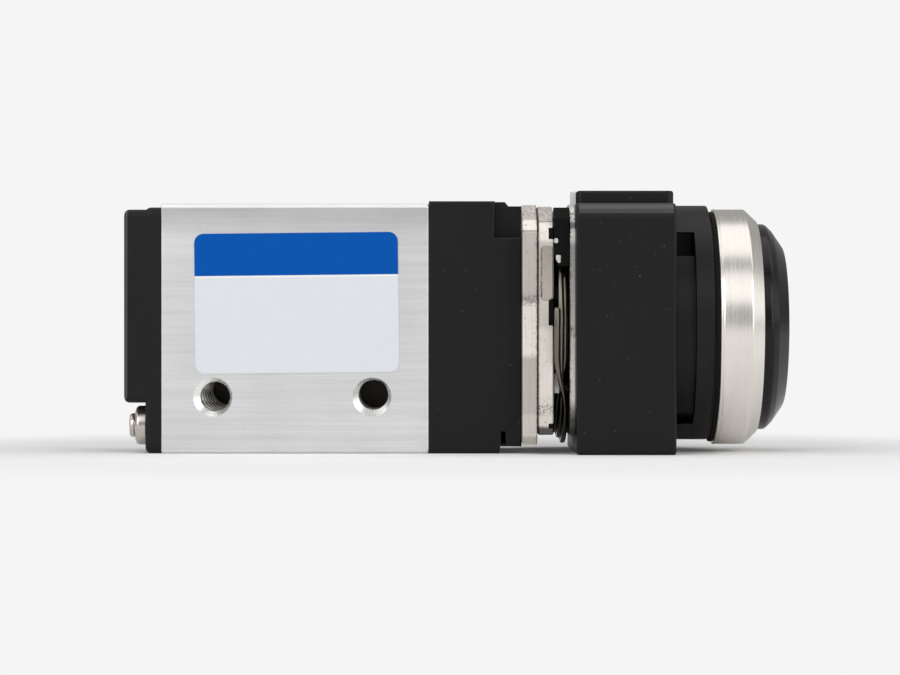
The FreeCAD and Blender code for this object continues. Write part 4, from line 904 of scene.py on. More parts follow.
@dataclass
class Finishes:
    """Every finish of the valve, made once."""

    aluminium: bpy.types.Material = made(BrushedAluminium())
    cover: bpy.types.Material = made(MouldedBlack("cover_black", colour(8, 8, 8), 0.46))
    black: bpy.types.Material = made(MouldedBlack())
    cap: bpy.types.Material = made(MouldedBlack("cap_black", colour(10, 10, 12), 0.22, 0.003))
    plate: bpy.types.Material = made(CastPlate())
    # The lock plate's lowest band, below 4.1, is painted shadow.
    lock: bpy.types.Material = made(CastPlate(
        "lock_cast", colour(242, 235, 227), 0.44, 6.2, 33.9, 32.4,
        ((3.6, 0.20), (4.1, 0.87), (17.2, 0.91), (17.9, 0.73), (21.6, 0.70), (29.4, 0.66),
         (30.0, 1.0)),
    ))
    pad: bpy.types.Material = made(CastPlate(
        "pad_cast", colour(190, 182, 172), 0.40, 40.0, 34.3, 40.0,
        ((21.4, 1.0), (24.5, 0.92), (27.0, 0.82), (28.7, 0.74)),
    ))
    # The backing plate's dark band from 31.5 to 32.2 is painted shade; it also darkens towards its
    # lower edge.
    backing: bpy.types.Material = made(CastPlate(
        "backing_cast", colour(240, 236, 231), 0.40, 17.0, 38.3, 40.0,
        ((4.8, 0.10), (6.2, 0.4), (7.6, 1.0), (13.0, 1.0), (17.3, 0.8), (21.5, 0.66),
         (28.9, 0.5), (29.8, 1.0), (31.3, 1.0), (31.5, 0.35), (32.2, 0.35), (32.4, 1.0)),
    ))
    ring: bpy.types.Material = made(SatinNickel())
    label: bpy.types.Material = made(LabelPrint())
    rubber: bpy.types.Material = made(Rubber())
    steel: bpy.types.Material = made(BareSteel("turned_steel"))
    spring: bpy.types.Material = made(BareSteel("spring_steel", colour(122, 115, 106), 0.12))
    dark_steel: bpy.types.Material = made(BareSteel("blackened_steel", colour(52, 51, 50), 0.4))
    fastener: bpy.types.Material = made(
        BareSteel("fastener_nickel", colour(206, 199, 191), 0.16)
    )
    acetal: bpy.types.Material = made(BareSteel("acetal", colour(225, 222, 214), 0.45, 0.0))
    bore: bpy.types.Material = made(
        BareSteel("machined_bore", colour(238, 235, 230), 0.30, 0.8)
    )
    # Dark finish for hole floors and thread grooves: painted shade.
    depth: bpy.types.Material = made(BareSteel("painted_shade_depth", colour(66, 61, 55), 0.5, 0.2))
    sink: bpy.types.Material = made(
        BareSteel("countersink_cut", colour(246, 246, 244), 0.22, 0.9)
    )
    # A darker, duller black for the spacers, the liners and the notch blocks: painted shade.
    shade: bpy.types.Material = made(
        MouldedBlack("painted_shade_black", colour(8, 8, 8), 0.6, 0.004, 0.12)
    )
    # A lighter, glossier copy of the black for rounded rims: painted highlight.
    edge: bpy.types.Material = made(
        MouldedBlack("painted_highlight_black", colour(12, 12, 12), 0.36, 0.004, 1.0)
    )
    tab: bpy.types.Material = made(BareSteel("dull_tab", colour(222, 222, 220), 0.55, 0.2))
    spool: bpy.types.Material = made(BareSteel("spool_alloy", colour(200, 202, 205), 0.3))


def settle(piece: bpy.types.Object, body: Body, slot: str, *nodes: str) -> None:
    """Ride a piece on its body and hide the nodes that it replaces.

    Args:
        piece: the piece.
        body: body on which it rides.
        slot: not used.
        nodes: CAD nodes for which it stands.
    """
    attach(piece, body.value)
    if nodes:
        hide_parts(*nodes)
    LOG.info("%s: %d faces", piece.name, len(piece.data.polygons))


@dataclass
class ValveBlock:
    """Brushed block with its ports, mounting holes and bore; the label on it is not built here."""

    finishes: Finishes
    half_length: float = 18.75
    half_depth: float = 11.0
    height: float = 35.0
    edge: float = 0.65
    rim: float = 0.2
    axis_height: float = 17.8
    bore: float = 6.5
    tap_x: tuple = (-11.5, 10.8)
    tap_z: float = 7.9
    tap_lean: tuple = ((1.5, 0.9), (0.15, 0.2))
    tap_shift: tuple = ((0.3, 0.06), (0.16, 0.3))
    tap: float = 2.1
    tap_groove: float = 2.42
    tap_pitch: float = 0.75
    tap_thread: float = 5.4
    tap_depth: float = 7.0
    tap_point: float = 1.1
    tap_sink: float = 2.72
    outlets: tuple = (-7.0, 7.0)
    exhausts: tuple = (-13.0, 13.0)
    port_sink: float = 0.6
    port: float = 5.6
    port_groove: float = 6.25
    port_pitch: float = 1.41
    port_depths: tuple = (8.6, 9.0, 10.4)
    exhaust: float = 4.2
    exhaust_groove: float = 4.75
    exhaust_pitch: float = 0.94
    exhaust_depths: tuple = (5.2, 5.4, 11.0)
    passage: float = 1.9

    def _threaded(
        self, shell: Shell, axis: Axis, centre: tuple, face: float, way: int,
        sizes: tuple, floor: tuple, lean: tuple = (0.0, 0.0), shift: tuple = (0.0, 0.0)
    ) -> np.ndarray:
        """Sink a threaded hole and return its mouth.

        Args:
            shell: the piece.
            axis: direction of the hole.
            centre: the hole's axis in the plane.
            face: station of the face.
            way: 1 when the hole runs towards larger stations, else -1.
            sizes: mouth radius, core radius, groove radius, pitch and depth.
            floor: (depth, radius) pairs below the thread, the last of radius 0.
            lean: drift of the hole's centre over its depth.
            shift: drift of the centre over the countersink.

        Returns:
            The loop that the face leaves open.
        """
        mouth, core, groove, pitch, depth = sizes
        start = face + way * (mouth - core)
        ring = circle(centre, mouth)
        centre = (centre[0] + shift[0], centre[1] + shift[1])
        inner = circle(centre, core)
        shell.kind = 3
        loops = np.stack((ring, inner))
        stations = np.array(((face,), (start,)))
        shell.grid(axis.lay(loops, stations))
        # The grooves take the dark finish: painted shade.
        shell.thread(axis, centre, start, face + way * depth, core, groove, pitch, lean, (1, 2))
        # The hole's floor takes the dark finish: painted shade.
        shell.kind = 2
        lower = [(face + way * down, radius) for down, radius in floor]
        drifted = (centre[0] + lean[0], centre[1] + lean[1])
        shell.well(axis, drifted, [(face + way * depth, core), *lower])
        shell.kind = 0
        return axis.lay(ring, face)

    def _port(self, core: float, groove: float, pitch: float, depths: tuple) -> tuple:
        """Sizes and floor of a port: a thread, a plain foot and a passage at its end.

        Args:
            core: core radius.
            groove: radius at the bottom of the grooves.
            pitch: distance from groove to groove.
            depths: where the thread, the foot and the passage end.

        Returns:
            The sizes and the floor for _threaded.
        """
        thread, foot, end = depths
        floor = ((foot, core), (foot, self.passage), (end, self.passage), (end, 0.0))
        return (core + self.port_sink, core, groove, pitch, thread), floor

    def make_block(self) -> None:
        """Round the long edges, drill the faces and cut the threads."""
        shell = Shell()
        outline = round_corners(
            box_outline(-self.half_depth, self.half_depth, 0, self.height), self.edge, 4
        )
        ring = circle((0, self.axis_height), self.bore)
        ends = [[Axis.X.lay(ring, way * self.half_length)] for way in (-1, 1)]
        # The outline has five points a corner; these columns are the faces with holes.
        bottom, top, front = shell.prism(
            Axis.X, outline, -self.half_length, self.half_length, (self.rim, self.rim),
            holes=(ends[0], ends[1]), open_sides=(4, 14, 19), steps=3,
        )
        stations = ((-self.half_length, self.bore), (self.half_length, self.bore))
        shell.kind = 1
        shell.well(Axis.X, (0, self.axis_height), stations)
        shell.kind = 0
        tap_sizes = (
            self.tap_sink, self.tap, self.tap_groove, self.tap_pitch, self.tap_thread
        )
        point = self.tap_depth + self.tap_point
        taps = [
            self._threaded(
                shell, Axis.Y, (x, self.tap_z), -self.half_depth, 1, tap_sizes,
                ((self.tap_depth, self.tap), (point, 0.0)), lean, shift,
            )
            for x, lean, shift in zip(self.tap_x, self.tap_lean, self.tap_shift)
        ]
        shell.cap(front, taps)
        sizes, floor = self._port(
            self.port, self.port_groove, self.port_pitch, self.port_depths
        )
        shell.cap(top, [
            self._threaded(shell, Axis.Z, (x, 0), self.height, -1, sizes, floor)
            for x in self.outlets
        ])
        supply = self._threaded(shell, Axis.Z, (0, 0), 0, 1, sizes, floor)
        sizes, floor = self._port(
            self.exhaust, self.exhaust_groove, self.exhaust_pitch, self.exhaust_depths
        )
        below = [
            self._threaded(shell, Axis.Z, (x, 0), 0, 1, sizes, floor) for x in self.exhausts
        ]
        shell.cap(bottom, [supply, *below])
        block = shell.build(
            "valve_block", self.finishes.aluminium, self.finishes.bore, self.finishes.depth,
            self.finishes.sink,
        )
        settle(block, Body.VALVE, "aluminium", "valve_body")


@dataclass
class EndCover:
    """Moulded end cover; its four screws and domed washers are built in CoverScrews."""

    finishes: Finishes
    front: float = -18.75
    flange: float = 2.25
    thick: float = 3.0
    half_depth: float = 11.0
    height: float = 34.5
    corner: float = 1.1
    step: float = 7.1
    raised_top: float = 34.2
    rim: float = 0.75
    high: tuple = (6.4, 30.4)
    well_radius: float = 3.1
    well_bevel: float = 0.15
    flange_rims: tuple = (0.08, 0.7)
    lap: float = 0.15
    marks: tuple = ((-6.2, 12.5), (6.2, 12.5), (0.0, 24.0))
    mark: float = 1.5
    mark_depth: float = 0.12
    axis_height: float = 17.8
    cavity: float = 4.6
    cavity_end: float = -22.3

    def _mouth(self, station: float) -> list:
        """Loop of the spring cavity at a station."""
        ring = circle((0, self.axis_height), self.cavity)
        return [Axis.X.lay(ring, station)]

    def make_cover(self) -> None:
        """Flange, and a raised part that stops above the lower screws."""
        face = self.front - self.flange
        back = face - self.thick
        shell = Shell()
        outline = round_corners(
            box_outline(-self.half_depth, self.half_depth, 0, self.height), self.corner, 6
        )
        mouths = (self._mouth(self.front), self._mouth(face))
        shell.prism(Axis.X, outline, self.front, face, self.flange_rims, mouths)
        cavity = (
            (self.front, self.cavity), (self.cavity_end, self.cavity), (self.cavity_end, 0)
        )
        shell.well(Axis.X, (0, self.axis_height), cavity)
        side = self.half_depth + 0.01
        box = box_outline(-side, side, self.step, self.raised_top)
        outline = round_corners(box, self.corner, 6)
        wide = self.well_radius + self.well_bevel
        wells = []
        for way in (-1, 1):
            centre = (way * self.high[0], self.high[1])
            shell.well(Axis.X, centre, (
                (back, wide), (back + self.well_bevel, self.well_radius),
                (face - 0.01, self.well_radius), (face - 0.01, 0),
            ))
            wells.append(Axis.X.lay(circle(centre, wide), back))
        marks = []
        floor = back + self.mark_depth
        for centre in self.marks:
            shell.well(Axis.X, centre, ((back, self.mark), (floor, self.mark - 0.05), (floor, 0)))
            marks.append(Axis.X.lay(circle(centre, self.mark), back))
        start = self.front - self.lap
        shell.prism(
            Axis.X, outline, start, back, (0.0, self.rim),
            holes=(self._mouth(start), (*wells, *marks)), steps=5,
        )
        # The rims of the two upright edges take a lighter, glossier copy of the black: a painted
        # highlight.
        for way in (-1, 1):
            middle = way * (self.half_depth - 0.35)
            low = (back + 0.004, middle - 0.4, self.step + 0.5)
            high = (back + 0.6 * self.rim, middle + 0.4, self.raised_top)
            shell.mark(1, low, high)
        cover = shell.build("end_cover", self.finishes.cover, self.finishes.edge)
        settle(cover, Body.VALVE, "black_plastic", "rear_cover")


@dataclass
class CoverScrews:
    """Four pan-head screws with thick round-edged washers behind the end cover."""

    finishes: Finishes
    face: float = -21.0
    spots: tuple = (
        ("front_low", -7.6, 3.9), ("back_low", 7.6, 3.9),
        ("front_high", -6.4, 30.4), ("back_high", 6.4, 30.4),
    )
    washer: float = 2.75
    washer_height: float = 1.55
    washer_rounds: tuple = (0.0, 0.08, 0.62, 0.12)
    bore: float = 1.31
    head: float = 1.7
    head_height: float = 0.85
    head_flat: float = 0.98
    head_rounds: tuple = (0, 0, 0, 0, 0.06, 0.42, 0)
    undercut: tuple = (0.14, 0.2)
    shank: float = 1.25
    shank_end: float = -13.5
    tip: float = 0.8
    tip_length: float = 0.4
    cross: tuple = (0.82, 0.5)
    cross_arm: float = 0.24
    cross_depth: float = 0.5

    def make_washers(self) -> None:
        """Washers whose rear rim is rounded."""
        back = self.face - self.washer_height
        corners = (
            (self.face, self.bore), (self.face, self.washer),
            (back, self.washer), (back, self.bore),
        )
        profile = round_corners(corners, self.washer_rounds, 7)
        for name, across, along in self.spots:
            shell = Shell()
            shell.revolve((across, along), profile, 72)
            settle(shell.build("washer_" + name, self.finishes.fastener), Body.VALVE,
                   "fastener", "rear_washer_" + name)

    def _cross(self, size: float, arm: float) -> np.ndarray:
        """Outline of a cross recess.

        Args:
            size: reach of each arm.
            arm: half its width.

        Returns:
            Anticlockwise points shaped (count, 2).
        """
        quarter = np.array(((size, -arm), (size, arm), (arm, arm)))
        turns = []
        for step in range(4):
            cosine, sine = math.cos(step * math.pi / 2), math.sin(step * math.pi / 2)
            turns.append(quarter @ np.array(((cosine, sine), (-sine, cosine))))
        return round_corners(np.concatenate(turns), 0.05, 2)

    def make_screws(self) -> None:
        """Domed heads, undercut next to the washer, with a cross recess."""
        seat = self.face - self.washer_height
        back = seat - self.head_height
        neck, under = (seat - depth for depth in self.undercut)
        corners = (
            (self.shank_end, 0.0), (self.shank_end, self.tip),
            (self.shank_end - self.tip_length, self.shank), (neck, self.shank),
            (under, self.head), (back, self.head - 0.1), (back, self.head_flat),
        )
        profile = round_corners(corners, self.head_rounds, 6)
        for name, across, along in self.spots:
            shell = Shell()
            shell.revolve((across, along), profile, 72, closed=False)
            middle = np.array((across, along))
            mouth, floor = (
                self._cross(size, size * self.cross_arm) + middle for size in self.cross
            )
            rim = circle((across, along), self.head_flat, 72)
            mouth_loop = Axis.X.lay(mouth, back)
            shell.cap(Axis.X.lay(rim, back), [mouth_loop])
            floor_loop = Axis.X.lay(floor, back + self.cross_depth)
            shell.grid(np.stack((mouth_loop, floor_loop)))
            shell.cap(floor_loop)
            settle(shell.build("screw_" + name, self.finishes.fastener), Body.VALVE,
                   "fastener", "rear_screw_" + name)


@dataclass
class AdapterHousing:
    """Black housing between the block and the plates, notched at its far top corners."""

    finishes: Finishes
    start: float = 18.75
    end: float = 31.75
    half_depth: float = 11.0
    top: float = 35.35
    edge: float = 0.3
    notch_x: float = 28.0
    notch_z: float = 30.25
    notch_y: float = 7.8
    ramp: tuple = ((29.45, 35.35), (29.95, 34.75))
    foot_x: float = 28.65
    foot_z: float = 1.0
    slot: tuple = (28.85, 29.5, 1.08, 3.1)
    slot_round: float = 0.12
    slot_depth: float = 1.5
    axis_height: float = 17.8
    nose_bore: float = 4.3
    tube_bore: float = 6.06
    land_end: float = 23.75

    def _outlines(self) -> tuple:
        """The housing's outline over x and z.

        Returns:
            Two arrays with as many points: the full outline and the one with the notch.
        """
        ramp_start, ramp_end = self.ramp
        shared = [
            (self.start, 0), (self.foot_x, 0), (self.foot_x + 0.1, self.foot_z),
            (self.end, self.foot_z), (self.end, self.notch_z),
        ]
        full = shared + [(self.end, ramp_end[1]), ramp_end, ramp_start]
        full += [(self.notch_x, self.top), (self.start, self.top)]
        cut = shared + [(self.end - 0.02, self.notch_z), (self.notch_x + 0.04, self.notch_z)]
        cut += [(self.notch_x, self.notch_z), (self.notch_x, self.top), (self.start, self.top)]
        return np.array(full, float), np.array(cut, float)

    def make_housing(self) -> None:
        """Join outlines at stations along Y; the notch's inner wall joins two at one station."""
        full, cut = self._outlines()
        angle = np.linspace(0, math.pi / 2, 5)
        rims = inset(cut, self.edge * (1 - np.sin(angle)))
        depth = self.half_depth - self.edge * (1 - np.cos(angle))
        shell = Shell()
        outlines = [*rims, cut, full, full, cut, *rims[::-1]]
        notch = self.notch_y
        depths = [*(-depth), -notch, -notch, notch, notch, *depth[::-1]]
        loops = np.asarray(outlines)
        points = Axis.Y.lay(loops, np.asarray(depths)[:, None])
        for side, station, bore in zip(
            shell.grid(points, skip=(3, len(full) - 1), row=len(rims) + 1),
            (self.end, self.start), (self.tube_bore, self.nose_bore),
        ):
            ring = circle((0, self.axis_height), bore)
            shell.cap(side, [Axis.X.lay(ring, station)])
        stations = (
            (self.start, self.nose_bore), (self.land_end, self.nose_bore),
            (self.land_end, self.tube_bore), (self.end, self.tube_bore),
        )
        shell.well(Axis.X, (0, self.axis_height), stations)
        shell.cap(points[-1])
        left, right, low, high = self.slot
        hole = round_corners(box_outline(left, right, low, high), self.slot_round, 3)
        mouth = Axis.Y.lay(hole, -self.half_depth)
        shell.cap(points[0], [mouth])
        floor = Axis.Y.lay(hole, self.slot_depth - self.half_depth)
        shell.grid(np.stack((mouth, floor)))
        shell.cap(floor)
        housing = shell.build("adapter_housing", self.finishes.black)
        settle(housing, Body.VALVE, "black_plastic", "adapter")


@dataclass
class ClampPlates:
    """Cast base and lock plates, the pieces in the gap behind them and the backing plate."""

    finishes: Finishes
    half_depth: float = 15.0
    corner: float = 3.9
    facet: tuple = (0.32, 0.6)
    foot: float = 1.1
    blunt: float = 0.4
    base_rims: tuple = (0.25, 0.15)
    backing_rims: tuple = (0.12, 0.12)
    base: tuple = (31.75, 33.85, 1.35, 34.95)
    lock: tuple = (33.95, 36.1, 2.7, 34.7)
    backing: tuple = (38.35, 39.2, 2.6, 34.5)
    relief: float = 0.7
    relief_depth: float = 3.5
    reliefs: tuple = ((3.6, 4.3), (17.9, 21.65), (29.9, 31.5))
    shade_liner: float = 0.12
    notch_shade_gap: float = 0.06
    peg: tuple = (0.82, 8.5, 11.3)
    peg_reach: tuple = (2.2, 1.2)
    pad: tuple = (0.35, 0.1, 21.4, 29.0)
    pad_proud: float = 0.22
    tab_half: float = 10.8
    tab_foot: float = 0.42
    tab_top: float = 36.7
    tab_shift: float = 0.25
    tab_post: float = 1.3
    axis_height: float = 17.8
    hole: float = 6.06

    def _outline(self, low: float, high: float, shoulder: float = 7.6) -> np.ndarray:
        """A plate's outline over y and z: small lower corners, two facets at the upper ones.

        The facets meet facet[0] corners in from the side and facet[1] below the top.

        Args:
            low: lower edge.
            high: upper edge.
            shoulder: how far the upper facets reach in from the sides.

        Returns:
            Anticlockwise points shaped (10, 2).
        """
        half = self.half_depth
        corner = self.corner
        right = [
            (half - self.foot, low), (half, low + self.foot), (half, high - corner),
            (half - self.facet[0] * corner, high - self.facet[1] * corner),
            (half - shoulder, high),
        ]
        left = [(-across, along) for across, along in reversed(right)]
        return np.array(right + left, float)

    def _notched(self, low: float, high: float, depth: float) -> np.ndarray:
        """A plate's outline with the lock plate's notches.

        At height z the edge stands at y(z), read from the plain outline; inside a notch it
        stands at the plate's half depth less the notch's own.

        Args:
            low: lower edge.
            high: upper edge.
            depth: depth of the notches; 0 keeps the plain outline with the same points.

        Returns:
            Points shaped (count, 2).
        """
        right = self._outline(low, high)[:5]
        levels = set(right[:, 1])
        for start, end in self.reliefs:
            levels |= {start, start + 0.02, end - 0.02, end}
        heights = np.array(sorted(levels))
        edge = np.interp(heights, right[:, 1], right[:, 0])
        for start, end in self.reliefs:
            inside = (heights > start + 0.01) & (heights < end - 0.01)
            if depth:
                edge = np.where(inside, self.half_depth - depth, edge)
        side = np.stack((edge, heights), axis=-1)
        return np.concatenate((side, side[::-1] * np.array((-1.0, 1.0))))

    def _hole(self, station: float) -> list:
        """Loop of the guide tube's hole at a station."""
        ring = circle((0, self.axis_height), self.hole)
        return [Axis.X.lay(ring, station)]

    def _bored(
        self, shell: Shell, outline: np.ndarray, start: float, end: float, rims: tuple,
        steps: int = 3
    ) -> None:
        """Add a layer with the guide tube's hole.

        Args:
            shell: the piece.
            outline: the layer's outline.
            start: station of its first face.
            end: station of its second face.
            rims: radius of each rim.
            steps: steps in a rim.
        """
        holes = (self._hole(start), self._hole(end))
        shell.prism(Axis.X, outline, start, end, rims, holes, steps=steps)
        shell.well(Axis.X, (0, self.axis_height), ((start, self.hole), (end, self.hole)))

    def make_base(self) -> None:
        """Base plate."""
        start, end, low, high = self.base
        outline = round_corners(self._outline(low, high), self.blunt, 4)
        shell = Shell()
        self._bored(shell, outline, start, end, self.base_rims)
        plate = shell.build("base_plate_cast", self.finishes.plate)
        settle(plate, Body.VALVE, "nickel_plate", "base_plate")

    def make_backing(self) -> None:
        """Backing plate with a dark liner of painted shade towards the gap, the foot of its tab
        and the tab's front post.
        """
        start, end, low, high = self.backing
        outline = round_corners(self._outline(low, high, self.corner), self.blunt, 4)
        shell = Shell()
        self._bored(shell, outline, start, end, self.backing_rims)
        # A dark liner on the face towards the gap: painted shade.
        shell.kind = 2
        shade_liner = inset(outline, 0.9)
        self._bored(shell, shade_liner, start - self.shade_liner, start + 0.02, (0.04, 0), 4)
        shell.kind = 1
        foot = box_outline(-self.tab_half, self.tab_half, high - 1, high + self.tab_foot)
        shell.prism(Axis.X, np.array(foot, float), start + 0.02, end - 0.02)
        box = box_outline(
            -self.tab_half, self.tab_post - self.tab_half,
            high + self.tab_foot - 0.02, self.tab_top,
        )
        post = round_corners(box, (0, 0, 0.2, 0.2), 3)
        near, far = start + self.tab_shift, end + self.tab_shift - 0.1
        shell.prism(Axis.X, post, near, far, (0.04, 0.04))
        plate = shell.build(
            "backing_plate_cast", self.finishes.backing, self.finishes.tab, self.finishes.shade
        )
        settle(plate, Body.VALVE, "nickel_plate", "backing_plate")

    def _furnish(self, shell: Shell, way: int) -> None:
        """Add dark blocks of painted shade in the notches, the peg and the pad on one side of the
        lock plate.

        Args:
            shell: the lock plate.
            way: -1 for the front, 1 for the back.
        """
        start, end = self.lock[:2]
        side = self.half_depth
        gap = self.notch_shade_gap
        shell.kind = 2
        # Dark blocks set in the notches: painted shade.
        for bottom, top in self.reliefs:
            box = box_outline(end - self.relief + 0.02, end - 0.04, bottom + gap, top - gap)
            notch_shade = round_corners(box, 0.08, 2)
            inner = way * (side - self.relief_depth)
            shell.prism(Axis.Y, notch_shade, inner, way * (side - 0.3), (0, 0.08))
        shell.kind = 3
        thick, bottom, top = self.peg
        peg = round_corners(box_outline(end, end + thick, bottom, top), 0.1, 2)
        inner, outer = (way * (side - reach) for reach in self.peg_reach)
        shell.prism(Axis.Y, peg, inner, outer, (0, 0.08))
        shell.kind = 1
        before, after, bottom, top = self.pad
        pad = round_corners(box_outline(start + before, end - after, bottom, top), 0.6, 4)
        far = way * (side + self.pad_proud)
        shell.prism(Axis.Y, pad, way * (side - 0.05), far, (0, 0.2))

    def make_lock(self) -> None:
        """Lock plate: a full layer and a layer with notches, joined at one station."""
        start, end, low, high = self.lock
        full = self._notched(low, high, 0.0)
        cut = self._notched(low, high, self.relief_depth)
        middle = end - self.relief
        shell = Shell()
        loops = np.stack((inset(full, 0.15), full, full, cut, cut, inset(cut, 0.15)))
        depths = np.array((start, start + 0.15, middle, middle, end - 0.15, end))
        points = Axis.X.lay(loops, depths[:, None])
        shell.grid(points)
        shell.cap(points[0], self._hole(start))
        shell.cap(points[-1], self._hole(end))
        shell.well(Axis.X, (0, self.axis_height), ((start, self.hole), (end, self.hole)))
        # A dark liner on the face towards the gap: painted shade.
        shell.kind = 2
        self._bored(shell, inset(cut, 0.6), end - 0.02, end + self.shade_liner, (0, 0.04), 4)
        for way in (-1, 1):
            self._furnish(shell, way)
        plate = shell.build(
            "lock_plate_cast", self.finishes.lock, self.finishes.pad, self.finishes.shade,
            self.finishes.acetal,
        )
        settle(plate, Body.VALVE, "nickel_plate", "lock_plate")


@dataclass
class GapPieces:
    """Round-wire clamp spring and the corner spacers beside it."""

    finishes: Finishes
    start: float = 36.1
    end: float = 38.35
    radius: float = 16.5
    wire: float = 0.38
    step_in: float = 0.76
    turns: float = 2.5
    first: float = math.radians(82)
    axis_height: float = 17.8
    half_depth: float = 15.0
    spacer_top: float = 34.35
    spacer_bottom: float = 27.75
    spacer_foot: float = 26.1
    spacer_depth: float = 3.4
    slope: float = 1.6
    windows: tuple = (
        ((36.2, 29.35), (36.72, 29.35), (36.72, 30.02), (36.2, 30.02)),
        ((36.75, 26.6), (37.05, 26.6), (37.1, 27.7), (36.42, 27.7), (36.42, 27.05)),
    )

    def make_spring(self) -> None:
        """Coil whose turns cross in front.

        With a = first + 2 pi n t the wire stands at x = m + q (2 t - 1) c, y = -r sin a and
        z = axis + r cos a; c runs smoothly from 1 above to -1 below the crossing, and each
        turn's radius r is a wire's thickness less than the one before, so they pass.
        """
        t = np.linspace(0, 1, int(self.turns * 130))
        angle = self.first + 2 * math.pi * self.turns * t
        height = np.cos(angle)
        share = np.clip((height + 0.75) / 0.5, 0, 1)
        course = 2 * share * share * (3 - 2 * share) - 1
        middle = (self.start + self.end) / 2
        reach = (self.end - self.start) / 2 - self.wire - 0.02
        along = middle + reach * (2 * t - 1) * course
        radius = self.radius - self.step_in * self.turns * t
        upright = self.axis_height + radius * height
        path = np.stack((along, -radius * np.sin(angle), upright), axis=-1)
        shell = Shell()
        shell.wire(path, self.wire)
        settle(shell.build("clamp_spring_wire", self.finishes.spring), Body.VALVE,
               "spring_steel", "clamp_spring")

    def make_spacers(self) -> None:
        """Black corner pieces, darkened as painted shade, with a sloping top and two small gaps
        beside the lock plate.
        """
        start, end = self.start + 0.02, self.end - 0.02
        top, bottom = self.spacer_top, self.spacer_bottom
        outline = np.array((
            (start + 0.5, self.spacer_foot), (end - 0.2, self.spacer_foot), (end, 26.4),
            (end, top), (start, top),
            (start, 30.2), (start + 0.62, 30.1), (start + 0.66, 29.35), (start, 29.25),
            (start, bottom), (start + 0.2, bottom - 0.05), (start + 0.25, 27.0),
        ))
        outline = round_corners(outline, 0.1, 3)
        for name, way in (("front", -1), ("back", 1)):
            loops = []
            for reach, inward in (
                (0.0, 0.1), (0.1, 0.0), (self.slope, 0.0), (self.spacer_depth, 0.0)
            ):
                loop = inset(outline, inward)
                ceiling = min(top, top - self.slope + reach)
                loop = np.stack((loop[:, 0], np.minimum(loop[:, 1], ceiling)), axis=-1)
                loops.append(Axis.Y.lay(loop, way * (self.half_depth - reach)))
            shell = Shell()
            points = np.stack(loops)
            shell.grid(points)
            shell.cap(points[0])
            shell.cap(points[-1])
            shell.kind = 1
            for window in self.windows:
                inlay = round_corners(np.array(window), 0.16, 3)
                inner, outer = way * (self.half_depth - 0.2), way * (self.half_depth + 0.02)
                shell.prism(Axis.Y, inlay, inner, outer, (0, 0.02))
            spacer = shell.build("spacer_" + name, self.finishes.shade, self.finishes.acetal)
            settle(spacer, Body.VALVE, "black_plastic", "corner_spacer_" + name)


@dataclass
class HeadBlock:
    """Black block that carries the button, with the pad on its top; the pad's screw is not built
    here, only its well.
    """

    finishes: Finishes
    start: float = 39.2
    end: float = 53.0
    half_depth: float = 17.5
    height: float = 34.9
    corners: tuple = (0.7, 0.7, 2.3, 2.3)
    rims: tuple = (0.35, 0.35)
    axis_height: float = 17.8
    tube_bore: float = 6.06
    neck_bore: float = 11.06
    wall: float = 2.2
    pad_start: float = 39.4
    pad_half: float = 11.5
    pad_top: float = 36.8
    pad_corner: float = 0.8
    pad_rim: float = 0.35
    screw_x: float = 46.1
    screw: float = 3.46
    screw_depth: float = 1.5

    def make_block(self) -> None:
        """Rounded block with its stepped bore."""
        outline = round_corners(
            box_outline(-self.half_depth, self.half_depth, 0, self.height), self.corners, 8
        )
        centre = (0, self.axis_height)
        shell = Shell()
        near = circle(centre, self.tube_bore)
        far = circle(centre, self.neck_bore)
        holes = (
            [Axis.X.lay(near, self.start)],
            [Axis.X.lay(far, self.end)],
        )
        shell.prism(Axis.X, outline, self.start, self.end, self.rims, holes)
        step = self.start + self.wall
        shell.well(Axis.X, centre, (
            (self.start, self.tube_bore), (step, self.tube_bore),
            (step, self.neck_bore), (self.end, self.neck_bore),
        ))
        # The rounded upper edges take a lighter, glossier copy of the black: a painted highlight.
        for side in (-1, 1):
            middle = side * (self.half_depth - 1.0)
            box = (self.start + 0.3, middle - 1.2, self.height - 1.5)
            shell.mark(1, box, (self.end - 0.3, middle + 1.2, self.height - 0.01))
        block = shell.build("button_head_block", self.finishes.black, self.finishes.edge)
        settle(block, Body.VALVE, "black_plastic", "head_block")

    def make_pad(self) -> None:
        """Pad with a well for its screw."""
        shell = Shell()
        outline = round_corners(
            box_outline(self.pad_start, self.end, -self.pad_half, self.pad_half),
            self.pad_corner, 5,
        )
        ring = circle((self.screw_x, 0), self.screw)
        mouth = [Axis.Z.lay(ring, self.pad_top)]
        rims = (0, self.pad_rim)
        shell.prism(Axis.Z, outline, self.height, self.pad_top, rims, ((), mouth))
        floor = self.pad_top - self.screw_depth
        profile = ((self.pad_top, self.screw), (floor, self.screw), (floor, 0))
        shell.well(Axis.Z, (self.screw_x, 0), profile)
        pad = shell.build("block_pad", self.finishes.black)
        settle(pad, Body.VALVE, "black_plastic", "top_pad")


